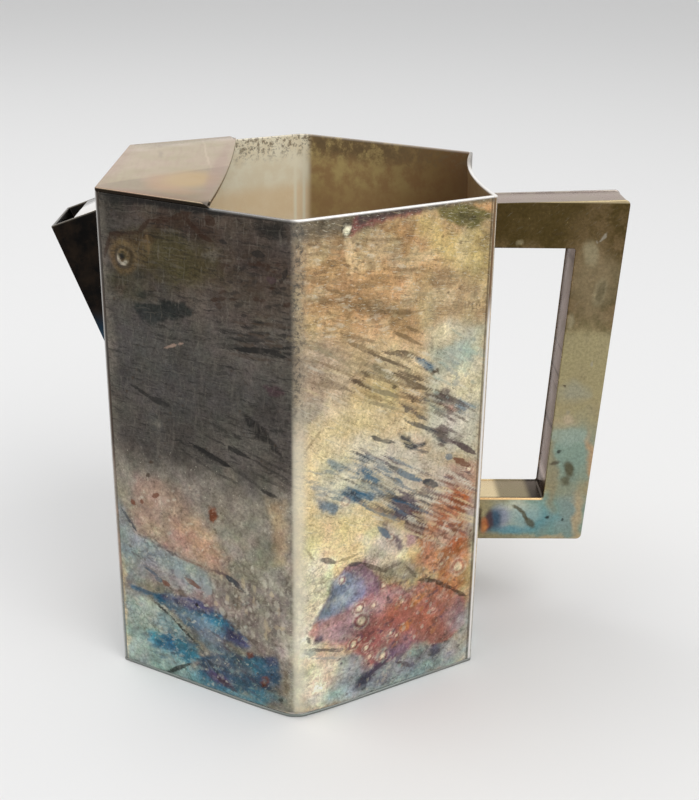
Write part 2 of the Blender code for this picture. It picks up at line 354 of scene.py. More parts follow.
class Stain(NamedTuple):
    """A patch of colour on a face, mostly tarnish and at the places so marked painted light: a ragged
    ellipse, in millimetres along the face and up it.
    """

    colour: str
    along: float
    up: float
    reach: float
    width: float
    turn: float = 0.0
    soft: float = 0.5
    strength: float = 0.85

    def mask(self, tarnish):
        """Distance from the middle in bent coordinates, as a share of the ellipse, with a torn edge."""
        u, v = turned(tarnish.broad[0] - self.along, tarnish.broad[1] - self.up, self.turn)
        far = np.hypot(u / self.reach, v / self.width) + tarnish.ragged
        return self.strength * (1 - ease(far, 1 - self.soft, 1 + self.soft))


class Region(NamedTuple):
    """A patch of colour inside a closed outline on a face, in millimetres: mostly tarnish, and at the place
    so marked partly painted shadow.
    """

    colour: str
    points: tuple
    soft: float = 1.0
    strength: float = 0.85
    drag: float = 0.0

    def mask(self, tarnish):
        """Distance outside the outline, torn by noise at the edge and dragged out along the streaks."""
        gap = outside(*tarnish.close, self.points) + 3.2 * tarnish.torn + self.drag * tarnish.dragged
        return self.strength * (1 - ease(gap, -self.soft, self.soft))


class Dash(NamedTuple):
    """A torn, lens-shaped line of colour between two points of a face, in millimetres: mostly tarnish, and at
    the place so marked partly painted shadow.
    """

    colour: str
    start: tuple
    end: tuple
    width: float
    strength: float = 0.85


class Brush(NamedTuple):
    """Many dashes scattered in an ellipse of a face, all of them near one direction."""

    colours: tuple
    along: float
    up: float
    reach: float
    height: float
    turn: float
    count: int
    length: float
    width: float
    strength: float

    def dashes(self, seed):
        """Places spread evenly over the ellipse, each with its own direction, length, width and colour."""
        chance = np.random.default_rng(seed)
        far, way = np.sqrt(chance.random(self.count)), chance.random(self.count) * 2 * np.pi
        u, v = self.reach * far * np.cos(way), self.height * far * np.sin(way)
        x, y = turned(u, v, -self.turn)
        heading = np.radians(self.turn + chance.normal(0, 2.5, self.count))
        half = self.length * chance.uniform(0.3, 1.0, self.count) / 2
        step = np.stack([half * np.cos(heading), half * np.sin(heading)], 1)
        middle = np.stack([self.along + x, self.up + y], 1)
        width = self.width * chance.uniform(0.6, 1.3, self.count)
        strength = self.strength * chance.uniform(0.6, 1.0, self.count)
        shades = chance.choice(self.colours, self.count)
        return [Dash(*values) for values in zip(shades, middle - step, middle + step, width, strength)]


def ease(value, start, end):
    """Goes smoothly from 0 to 1 as the value goes from start to end."""
    part = np.clip((value - start) / (end - start), 0, 1)
    return part * part * (3 - 2 * part)


def hashed(column, row, seed):
    """A number from 0 to 1 for each knot of a grid: the fraction of a large sine."""
    return np.modf(np.abs(np.sin(column * 127.1 + row * 311.7 + seed) * 43758.5453))[0]


def lumps(along, up, size, seed, octaves=4, keep=0.55):
    """Soft noise from 0 to 1: hashed knots blended smoothly, summed over octaves of half the size."""
    total, weight, whole = 0.0, 1.0, 0.0
    for octave in range(octaves):
        column, row = along / size * 2**octave + 13.7 * octave, up / size * 2**octave + 7.9 * octave
        i, j = np.floor(column), np.floor(row)
        f, g = ease(column - i, 0, 1), ease(row - j, 0, 1)
        key = seed * 74.7 + octave * 19.3
        low = hashed(i, j, key) * (1 - f) + hashed(i + 1, j, key) * f
        high = hashed(i, j + 1, key) * (1 - f) + hashed(i + 1, j + 1, key) * f
        total = total + weight * (low * (1 - g) + high * g)
        whole += weight
        weight *= keep
    return total / whole


def turned(along, up, turn):
    """Coordinates along and across a direction that is turned by so many degrees."""
    cosine, sine = np.cos(np.radians(turn)), np.sin(np.radians(turn))
    return along * cosine + up * sine, up * cosine - along * sine


def outside(along, up, outline):
    """Distance to a closed outline, negative inside it: the least over its sides, with a crossing count."""
    points = np.array(outline, float)
    far = np.full(len(along), np.inf)
    inside = np.zeros(len(along), bool)
    for (x0, y0), (x1, y1) in zip(points, np.roll(points, -1, 0)):
        dx, dy = x1 - x0, y1 - y0
        part = np.clip(((along - x0) * dx + (up - y0) * dy) / (dx * dx + dy * dy), 0, 1)
        far = np.minimum(far, np.hypot(along - x0 - part * dx, up - y0 - part * dy))
        if dy:
            inside ^= ((y0 > up) != (y1 > up)) & (along < x0 + dx * (up - y0) / dy)
    return np.where(inside, -far, far)


class Tarnish:
    """Colours of the vertices of a face, laid on in layers. along and up are in millimetres."""

    def __init__(self, along, up, seed, whole, finest):
        self.along, self.up, self.seed = along, up, seed
        self.whole, self.finest = whole, finest
        self.ragged = 0.63 * (self.noise(10.0, 3) - 0.5) + 0.45 * (self.noise(3.0, 6) - 0.5)
        self.torn = self.noise(3.6, 7, 4, 0.75) - 0.5
        u, v = turned(along, up, np.where(along > 0, -31.0, -9.0))
        self.dragged = lumps(u / 9.0, v / 1.3, 1.0, seed + 8, 3, 0.6) - 0.5
        wide = [self.noise(20.0, 1 + i, 3) - 0.5 for i in (0, 1)]
        tight = [self.noise(5.0, 4 + i, 4, 0.65) - 0.5 for i in (0, 1)]
        self.broad = along + 6 * wide[0] + 5 * tight[0], up + 6 * wide[1] + 5 * tight[1]
        self.close = along + 1.4 * tight[0], up + 1.4 * tight[1]
        self.straight = along + 0.5 * tight[0], up + 0.5 * tight[1]
        self.colour = np.zeros((len(along), 3))
        self.gap = np.full(len(along), 4.0)
        self.mark = np.zeros((len(along), 4))
        self.drawn = np.zeros((len(along), 4))

    def noise(self, size, seed, octaves=4, keep=0.55):
        return lumps(self.along, self.up, size, self.seed + seed, octaves, keep)

    def lay(self, shade, mask):
        """Mixes a named colour in, as much as the mask says."""
        self.colour = self.colour + np.asarray(mask)[:, None] * (np.array(tint(shade)[:3]) - self.colour)

    def paint(self, patches):
        """Stains and regions, one over the other. A wall that isn't shown whole gets the stains alone."""
        for patch in patches:
            if self.whole or isinstance(patch, Stain):
                self.lay(patch.colour, patch.mask(self))

    def draw(self, marks):
        """Dashes and brushes. A wall that isn't shown whole gets the brushes alone."""
        for order, mark in enumerate(marks):
            if isinstance(mark, Brush):
                for dash in mark.dashes(self.seed + order):
                    self.dash(dash)
            elif self.whole:
                self.dash(mark)

    def cloud(self, shade, strength, size, seed, start, end, mask):
        """Clouds of one colour inside a mask."""
        self.lay(shade, strength * ease(self.noise(size, seed), start, end) * mask)

    def dash(self, dash):
        """Keeps how far each vertex is outside the nearest lens, and that lens's colour and strength."""
        start, end = np.array(dash.start), np.array(dash.end)
        half = np.linalg.norm(end - start) / 2
        middle = (start + end) / 2
        turn = math.degrees(math.atan2(end[1] - start[1], end[0] - start[0]))
        along, up = self.straight[0] - middle[0], self.straight[1] - middle[1]
        near = np.flatnonzero((np.abs(along) < half + 4) & (np.abs(up) < half + 4))
        u, v = turned(along[near], up[near], turn)
        room = 0.5 * max(dash.width, self.finest) * np.clip(1 - (u / half) ** 2, 0, None)
        gap = np.hypot(np.clip(np.abs(u) - half, 0, None), v) - room
        nearer = gap < self.gap[near]
        self.gap[near[nearer]] = gap[nearer]
        self.mark[near[nearer]] = (*tint(dash.colour)[:3], dash.strength)

    def ring(self, along, up, radius, strength):
        """Dried drop: a pale middle in a dark ring, with a thin pale line outside."""
        far = np.hypot(self.close[0] - along, self.close[1] - up) / radius
        self.lay("wine", strength * ease(far, 0.6, 0.9) * (1 - ease(far, 1.1, 1.4)))
        self.lay("ivory", min(1.0, 1.25 * strength) * (1 - ease(far, 0.5, 0.9)))
        self.lay("pearl", 0.6 * strength * ease(far, 1.15, 1.35) * (1 - ease(far, 1.45, 1.7)))

    def eye(self, along, up):
        """Blister: a dark middle, a pale crescent that is a painted highlight, an olive crescent, a dark ring
        and a brown halo.
        """
        far = np.hypot(self.close[0] - along, self.close[1] - up)
        way = np.cos(np.arctan2(self.up - up, self.along - along) - math.radians(250))
        self.lay("bark", 0.6 * (1 - ease(far, 4.5, 6.5)))
        self.lay("soot", 0.6 * ease(far, 2.4, 3.0) * (1 - ease(far, 3.4, 4.6)))
        # Painted highlight: the pale crescent on the side of the dome that faces 250 degrees.
        self.lay("pearl", 0.5 * ease(way, -0.3, 0.5) * ease(far, 1.1, 1.6) * (1 - ease(far, 2.1, 2.8)))
        self.lay("olive", 0.7 * (1 - ease(far, 1.6, 2.4)) * (1 - ease(way, -0.2, 0.5)))
        self.lay("soot", 0.95 * (1 - ease(np.hypot(self.along - along + 0.2, self.up - up - 0.5), 0.7, 1.4)))


# Left face: along runs from -75 to 0. Right face: from 0 to 75.
LEFT_HIGH = (
    Stain("brown", -18, 158, 34, 17, 0, 0.6, 0.75),
    Stain("brown", -40, 176, 45, 6, 0, 0.6, 0.6),
    Stain("olive", -47, 160, 18, 8, -4, 0.5, 0.85),
    Stain("olive", -64, 149, 12, 6, 0, 0.6, 0.5),
    Region(
        "bark",
        (
            (-72, 160), (-70, 164), (-60, 166), (-55, 167), (-54, 162), (-58, 156), (-66, 153),
        ),
        2.5,
        0.45,
    ),
    Stain("russet", -42, 171, 12, 3, 0, 0.7, 0.5),
    Stain("russet", -63, 164.5, 10, 2, 8, 0.7, 0.4),
    Stain("soot", -69, 175, 9, 4, 0, 0.6, 0.5),
    # Dark band under the guard's edge: partly painted shadow of the guard, partly solder seam and tarnish.
    Region("soot", ((-75, 179), (-21, 179), (-25, 176.2), (-60, 175.4), (-75, 174.6)), 0.8, 0.85),
    Stain("taupe", -24, 134, 26, 15, 0, 0.7, 0.22),
    Region("smoke", ((-62, 141), (-57, 144), (-42, 146), (-38, 144), (-45, 139), (-57, 136)), 1.0, 0.9, 3.0),
    Stain("smoke", -57, 146.5, 4, 1.4, 0, 0.5, 0.6),
    Stain("steel", -45, 120, 34, 16, -6, 0.6, 0.55),
    Stain("steel", -40, 121, 9, 3.0, -6, 0.5, 0.5),
    Stain("steel", -56, 100, 6, 3.4, 0, 0.4, 0.6),
    Stain("taupe", -55.5, 100.4, 2.6, 1.2, 0, 0.5, 0.3),
    Stain("brown", -67, 147, 2.6, 2.4, 0, 0.5, 0.6),
    Stain("taupe", -75, 130, 4, 45, 0, 0.6, 0.45),
    Stain("taupe", -20, 100, 16, 9, -12, 0.7, 0.2),
    Region("taupe", ((-33, 163), (-29, 165.5), (-25, 164.5), (-29, 162)), 0.8, 0.35),
    Region("soot", ((-14, 175), (-12, 177), (-4, 177), (-3, 173), (-8, 171.5), (-13, 172.5)), 1.4, 0.8),
    Region(
        "soot",
        (
            (-22, 115.5), (-18.5, 112.8), (-14, 111), (-10.5, 109), (-8.5, 105.5), (-5.5, 101.5), (-3, 99),
            (-8, 101.8), (-11, 103.6), (-15.5, 104.2), (-15.8, 107), (-18.2, 109.8), (-19.8, 112),
        ),
        0.5,
        0.8,
        0.6,
    ),
    Region("plum", ((-11, 123.5), (-7, 124), (-3.5, 122), (-6, 120.8), (-9, 121)), 0.7, 0.8),
)
LEFT_LOW = (
    Stain("stone", -18, 68, 17, 19, 0, 0.6, 0.6),
    Region(
        "salmon",
        ((-70, 70), (-66, 79), (-56, 80), (-46, 77), (-34, 67), (-28, 57), (-29, 51), (-48, 52), (-66, 57)),
        4.0,
        0.75,
    ),
    Stain("rose", -40, 60, 11, 6, -20, 0.6, 0.3),
    Region("honey", ((-11, 84), (-4, 85), (-3.5, 62), (-8, 60), (-9, 75)), 2.5, 0.5),
    Stain("stone", -71, 73, 4, 8, 0, 0.6, 0.7),
    Region(
        "fog",
        (
            (-75, 68), (-71, 63), (-66, 56.5), (-56, 54), (-38, 49.5), (-34, 45), (-44, 38),
            (-58, 40), (-75, 44),
        ),
        2.0,
        0.85,
    ),
    Stain("haze", -62, 49, 9, 5, -10, 0.6, 0.5),
    Stain("mauve", -44, 40, 18, 4, -8, 0.6, 0.3),
    Region("mint", ((-74, 31), (-60, 30.5), (-50, 25), (-44, 20), (-56, 18), (-74, 14)), 2.5, 0.9),
    Region("aqua", ((-74, 16), (-64, 15), (-56, 9), (-46, 7), (-41, 0), (-74, 0)), 4.0, 0.8),
    Stain("mint", -69, 6, 6, 7, 0, 0.6, 0.7),
    Region("taupe", ((-37, 25), (-28, 26), (-19, 24), (-22, 19), (-30, 16), (-39, 16)), 2.0, 0.7),
    Region(
        "blue",
        (
            (-71, 33.5), (-60, 32.5), (-54, 35), (-41, 36.5), (-30, 34), (-20, 27), (-18, 24),
            (-24, 23), (-36, 25.5), (-44, 24), (-50, 27.5), (-58, 31),
        ),
        1.2,
        0.95,
        2.0,
    ),
    Region("teal", ((-40, 31), (-36, 32), (-29, 31), (-26, 28), (-32, 26), (-38, 27)), 2.5, 0.35),
    Region(
        "grape",
        (
            (-56, 33.5), (-50, 35.5), (-42, 37), (-34, 35), (-35, 32.4), (-42, 31.5), (-50, 31),
        ),
        1.6,
        0.8,
    ),
    Region("grape", ((-29, 30), (-22, 28), (-18, 25), (-23, 22.6), (-29, 24.5)), 1.5, 0.8),
    Region(
        "teal",
        (
            (-64, 13), (-62, 17), (-50, 19), (-43, 17), (-40, 12), (-46, 8), (-58, 10),
        ),
        1.5,
        0.9,
        2.0,
    ),
    Stain("slate", -40, 28.4, 11, 3.4, -15, 0.6, 0.4),
    Stain("blue", -50, 14, 8, 4.4, 15, 0.5, 0.6),
    Stain("blue", -54, 14, 4.4, 3.6, 20, 0.5, 0.8),
    Region(
        "navy",
        ((-40, 13), (-30, 17), (-20, 21), (-8, 23.5), (-6, 18), (-9, 10), (-16, 5), (-32, 2.5), (-43, 6)),
        1.3,
        0.9,
        2.0,
    ),
    Region("teal", ((-46, 6), (-38, 6), (-22, 4), (-12, 5), (-14, 0), (-46, 0)), 2.5, 0.7),
    Stain("teal", -16, 18, 7, 3, 10, 0.6, 0.35),
    Stain("taupe", -30, 15, 6, 2.4, 20, 0.6, 0.4),
    Stain("grape", -32, 6.4, 6, 2.6, -25, 0.5, 0.85),
    Stain("grape", -10, 21, 3, 2.4, 0, 0.6, 0.5),
    Stain("teal", -12, 5, 6, 3, 0, 0.6, 0.5),
    Stain("taupe", -24, 13, 5, 1.8, 20, 0.6, 0.3),
    Stain("blue", -33, 20, 9, 3.4, -30, 0.5, 0.5),
    # Painted highlight down the foot of the fold, on its left side.
    Stain("pearl", -2.6, 25, 3.0, 27, 0, 0.6, 0.3),
    Stain("mint", -64, 4, 10, 4, 0, 0.6, 0.5),
    Stain("aqua", -52, 5, 9, 5, 0, 0.6, 0.5),
    Stain("teal", -52, 22, 7, 3.4, -20, 0.6, 0.4),
    Stain("fog", -69, 38, 7, 4, 0, 0.6, 0.6),
    # Painted highlight down the corner at the spout end.
    Stain("cream", -74.4, 20, 2.4, 26, 0, 0.5, 0.8),
    Stain("fog", -75, 54, 3, 12, 0, 0.6, 0.8),
    Stain("bark", -4, 14, 1.8, 6, 0, 0.5, 0.55),
    Region("sienna", ((-15.2, 11), (-14, 13.5), (-11.5, 14), (-10.6, 12.5), (-12, 10), (-14, 9.4)), 0.6, 0.9),
    Stain("taupe", -12.8, 12, 1.3, 1.1, 0, 0.5, 0.7),
    Region("sienna", ((-20.5, 21.5), (-18, 22), (-17, 20.8), (-19.5, 20)), 0.6, 0.8),
    Region(
        "sienna",
        (
            (-34.8, 73), (-33.8, 75.4), (-31.4, 75.4), (-31.2, 72), (-32.6, 69), (-34.4, 70),
        ),
        0.5,
        1.0,
    ),
)
LEFT_MARKS = (
    Dash("russet", (-73, 156), (-69.6, 165.4), 1.4, 0.6),
    Dash("russet", (-71, 164.6), (-63, 165.6), 1.6, 0.65),
    Dash("russet", (-66, 165), (-56.6, 167.6), 1.2, 0.55),
    Dash("russet", (-59, 166), (-53, 172), 1.6, 0.6),
    Dash("russet", (-54, 171), (-44, 173), 1.6, 0.55),
    Dash("russet", (-46, 172.6), (-37, 176), 2.2, 0.6),
    Dash("russet", (-41, 174.6), (-32.6, 168.6), 1.8, 0.6),
    Dash("russet", (-36, 170), (-29, 167.6), 1.6, 0.7),
    Dash("bark", (-55, 168), (-54.4, 159), 1.2, 0.6),
    Dash("russet", (-32.5, 175), (-28, 173.5), 3.2, 0.6),
    # Dark line under the guard's edge: partly painted shadow of the guard, partly solder seam and tarnish.
    Dash("soot", (-75, 177.5), (0, 177.5), 2.2, 0.6),
    Dash("soot", (-15.5, 166), (-10, 166), 2.4, 0.75),
    Dash("soot", (-27.5, 168.4), (-24, 168), 1.4, 0.7),
    Dash("soot", (-16, 162), (-13, 161.8), 1.2, 0.6),
    Dash("soot", (-4.6, 159), (-2.4, 163), 2.0, 0.7),
    Dash("plum", (-10, 159), (-6, 158.6), 2.6, 0.6),
    Dash("soot", (-24, 134), (-4, 136), 2.2, 0.9),
    Dash("soot", (-12, 135.6), (-2, 134.4), 1.4, 0.8),
    Dash("soot", (-20, 138), (-3, 140.5), 0.9, 0.6),
    Dash("salmon", (-50, 129.2), (-42, 132.2), 1.0, 0.7),
    Dash("soot", (-66, 113.6), (-55, 109.4), 1.2, 0.8),
    Dash("soot", (-58, 110), (-48.5, 109), 2.6, 0.75),
    Dash("soot", (-9.5, 108.6), (-3.5, 109.6), 0.9, 0.6),
    Dash("soot", (-35, 107), (-22, 103.6), 1.0, 0.5),
    Dash("soot", (-24.5, 104.4), (-19.5, 103.2), 1.4, 0.7),
    Dash("soot", (-36, 101.6), (-26, 99.6), 0.9, 0.6),
    Dash("soot", (-27.5, 99.6), (-17, 97), 1.8, 0.85),
    Dash("soot", (-18, 97.2), (0, 92), 0.9, 0.55),
    Dash("soot", (-42, 97.6), (-23, 91.4), 2.0, 0.95),
    Dash("soot", (-45, 94), (-31, 88.6), 1.2, 0.5),
    Dash("soot", (-30, 88.4), (-21, 86.4), 1.0, 0.5),
    Dash("soot", (-14, 87), (-6, 85.2), 1.4, 0.8),
    Dash("ink", (-73, 65), (-65, 55.8), 1.2, 0.75),
    Dash("plum", (-66, 56.4), (-46, 51.6), 0.9, 0.6),
    Dash("sienna", (-50, 52.2), (-33, 49.8), 0.9, 0.5),
    Dash("plum", (-34, 50.6), (-27, 49.8), 1.6, 0.8),
    Dash("ink", (-29, 50.2), (-21, 46.6), 2.6, 0.85),
    Dash("ink", (-23, 47), (-14, 43.6), 0.9, 0.6),
    Dash("sienna", (-46.5, 44.4), (-38.5, 41.2), 2.0, 0.8),
    Dash("slate", (-50.5, 45.2), (-46, 44.8), 4.0, 0.7),
    Dash("slate", (-39, 41.8), (-33.5, 41.8), 4.0, 0.75),
    Dash("navy", (-64, 44), (-57, 41.2), 1.3, 0.65),
    Dash("navy", (-59, 40.6), (-55, 39.6), 2.0, 0.6),
    Dash("sienna", (-56, 40), (-52, 38.8), 2.2, 0.8),
    Dash("umber", (-49, 38), (-45, 36.4), 2.8, 0.6),
    Dash("soot", (-41.8, 34.6), (-40.2, 34.2), 1.6, 0.9),
    Dash("navy", (-70, 33.6), (-56, 33), 1.2, 0.7),
    Dash("soot", (-61, 31.4), (-50, 24.4), 1.0, 0.85),
    Dash("soot", (-53, 26.4), (-41, 17.2), 1.3, 0.9),
    Dash("ink", (-43, 18.6), (-36, 12.6), 0.9, 0.6),
    Dash("soot", (-57, 0), (-43.5, 9.4), 1.7, 0.85),
    Dash("ink", (-38, 13.4), (-31, 7.6), 1.4, 0.7),
    Dash("plum", (-34, 7), (-24, 3.4), 2.4, 0.75),
    Dash("soot", (-7.2, 6), (-5, 6.2), 1.8, 0.8),
    Dash("sienna", (-67.8, 69.4), (-66, 67.4), 2.0, 0.9),
    Dash("sienna", (-63.4, 70.6), (-62.6, 68.6), 1.6, 0.8),
    Dash("sienna", (-58.5, 72.6), (-55, 74.6), 1.8, 0.85),
    Dash("umber", (-60.4, 79.8), (-59, 81.4), 1.7, 0.8),
    Dash("umber", (-59, 85.6), (-56.8, 86.2), 1.2, 0.8),
    Brush(("soot", "umber"), -13, 137, 15, 8, 5, 28, 14.0, 0.8, 0.8),
    Brush(("soot", "umber", "russet"), -15, 155, 16, 10, 14, 56, 5.0, 1.3, 0.65),
    Brush(("soot",), -30, 102, 30, 12, -17, 14, 18.0, 0.85, 0.45),
    Brush(("steel", "taupe"), -40, 110, 34, 22, 84, 30, 9.0, 1.2, 0.18),
    Brush(("taupe", "soot"), -36, 150, 36, 22, 3, 36, 10.0, 0.8, 0.22),
    Brush(("stone", "pearl", "cream"), -19, 42, 14, 17, 96, 70, 5.0, 1.6, 0.4),
    Brush(("umber", "plum"), -19, 44, 15, 18, 80, 54, 4.0, 1.0, 0.5),
    Brush(("pearl", "mint"), -60, 24, 14, 10, -20, 22, 5.0, 1.1, 0.4),
    Brush(("navy", "ink", "blue"), -52, 14, 16, 6, 12, 22, 7.0, 1.1, 0.55),
    Brush(("ink", "navy", "violet"), -22, 13, 14, 8, -24, 30, 6.0, 1.2, 0.55),
    Brush(("aqua", "mint"), -28, 12, 18, 9, 10, 24, 4.0, 0.9, 0.5),
    Brush(("sienna", "umber"), -44, 64, 26, 16, 40, 30, 1.6, 0.9, 0.5),
    Brush(("mint", "pearl"), -40, 30, 26, 7, 35, 26, 2.6, 0.9, 0.5),
    Brush(("plum", "ink"), -38, 30, 24, 6, -12, 24, 5.0, 1.1, 0.6),
    Brush(("mint", "pearl"), -30, 12, 26, 10, 70, 30, 2.4, 0.9, 0.5),
    Brush(("slate", "plum"), -52, 46, 20, 8, -14, 30, 4.0, 1.0, 0.45),
    Brush(("pearl", "salmon"), -48, 66, 22, 12, 20, 34, 2.4, 0.9, 0.35),
)
RIGHT_FIELDS = (
    Stain("rose", 30, 160, 30, 14, 0, 0.5, 0.85),
    Stain("bark", 9, 160, 9, 13, 0, 0.7, 0.2),
    Stain("amber", 36, 171, 10, 3.4, 0, 0.6, 0.35),
    Stain("bark", 40, 169, 16, 6, 0, 0.6, 0.3),
    Stain("bark", 19, 172, 14, 5, 0, 0.6, 0.7),
    Stain("rose", 36, 139, 20, 8, -14, 0.6, 0.8),
    Stain("cream", 38, 127, 17, 9, -26, 0.6, 0.5),
    Stain("gold", 30, 113, 15, 8, -20, 0.6, 0.6),
    Stain("sand", 8, 128, 9, 9, -20, 0.6, 0.6),
    Region(
        "gold",
        (
            (42, 176), (52, 173), (58, 168), (72, 168), (72, 155), (64, 152), (55, 157), (46, 168),
        ),
        3.0,
        0.8,
    ),
    Stain("honey", 56, 146, 17, 9, 0, 0.6, 0.8),
    Stain("khaki", 67, 143, 3, 6, 0, 0.6, 0.3),
    Stain("gold", 69, 156, 6, 8, 0, 0.6, 0.7),
    Region("sand", ((1, 142), (10, 139), (18, 133), (23, 124), (19, 115), (12, 108), (1, 106)), 4.0, 0.75),
    Stain("fog", 8, 114, 7, 6, -20, 0.6, 0.5),
    Region("sky", ((50, 136), (58, 138), (74, 134), (74, 84), (60, 90), (50, 100), (50, 121)), 4.0, 0.85),
    Stain("aqua", 62, 125, 7, 4, -20, 0.6, 0.45),
    Stain("cream", 64, 113, 9, 6, -20, 0.6, 0.5),
    Stain("cream", 56, 133, 7, 3, 0, 0.6, 0.5),
    Stain("cream", 71, 122, 4, 9, 0, 0.6, 0.35),
    Stain("cream", 26, 104, 22, 12, -18, 0.5, 0.7),
    Stain("gold", 20, 103, 13, 7, -20, 0.6, 0.6),
    Stain("cream", 14, 86, 16, 22, 0, 0.5, 0.85),
    Stain("cream", 6, 88, 5, 12, 0, 0.6, 0.8),
    Stain("apricot", 5, 80, 4, 13, 0, 0.6, 0.4),
    Region("straw", ((2, 56), (28, 58), (33, 66), (29, 76), (20, 78), (8, 78), (2, 74)), 3.0, 0.95),
    Stain("straw", 9, 88, 7, 10, 0, 0.6, 0.7),
    Stain("pearl", 5, 42, 8, 18, 0, 0.5, 0.95),
    Stain("ivory", 6, 26, 8, 14, 0, 0.6, 0.25),
    Stain("ivory", 7, 50, 8, 11, 0, 0.6, 0.9),
    Stain("pearl", 10, 14, 13, 10, 0, 0.5, 0.8),
    Stain("aqua", 14, 5, 14, 3.4, 0, 0.5, 0.7),
    Stain("pearl", 34, 58, 10, 8, -20, 0.5, 0.75),
    Region("sky", ((7, 98), (14, 98), (24, 96), (36, 88), (34, 79), (20, 76), (8, 78)), 3.0, 0.6, 5.0),
    Stain("sky", 40, 90, 12, 6, -30, 0.5, 0.4),
    Stain("pearl", 14, 86, 7, 5, 0, 0.6, 0.4),
    Stain("pearl", 28, 97, 12, 6, -20, 0.6, 0.6),
    Stain("moon", 44, 85, 20, 11, -32, 0.6, 0.75),
    Stain("moon", 57, 98, 9, 8, -30, 0.6, 0.6),
    Region("sand", ((46, 82), (50, 88), (58, 84), (72, 78), (73, 66), (62, 70), (52, 76)), 3.0, 0.6, 5.0),
    Region(
        "rust",
        ((49, 60), (50, 68), (56, 72), (60, 80), (64, 86), (73, 82), (73, 44), (62, 40), (54, 44), (51, 50)),
        2.5,
        0.85,
        5.0,
    ),
    Stain("burnt", 65, 71, 5, 5, -30, 0.5, 0.85),
    Stain("burnt", 67, 52, 4, 6, 0, 0.5, 0.7),
    Stain("pearl", 60, 56, 5, 3, 0, 0.5, 0.3),
    Stain("slate", 44, 7, 34, 8, 2, 0.5, 0.9),
    Stain("pearl", 68, 5, 8, 6, 0, 0.6, 0.5),
    Stain("slate", 66, 80, 8, 7, -30, 0.6, 0.35),
    Region("slate", ((17, 21), (26, 21), (31, 14), (34, 10), (26, 5), (18, 8)), 2.0, 0.85),
)
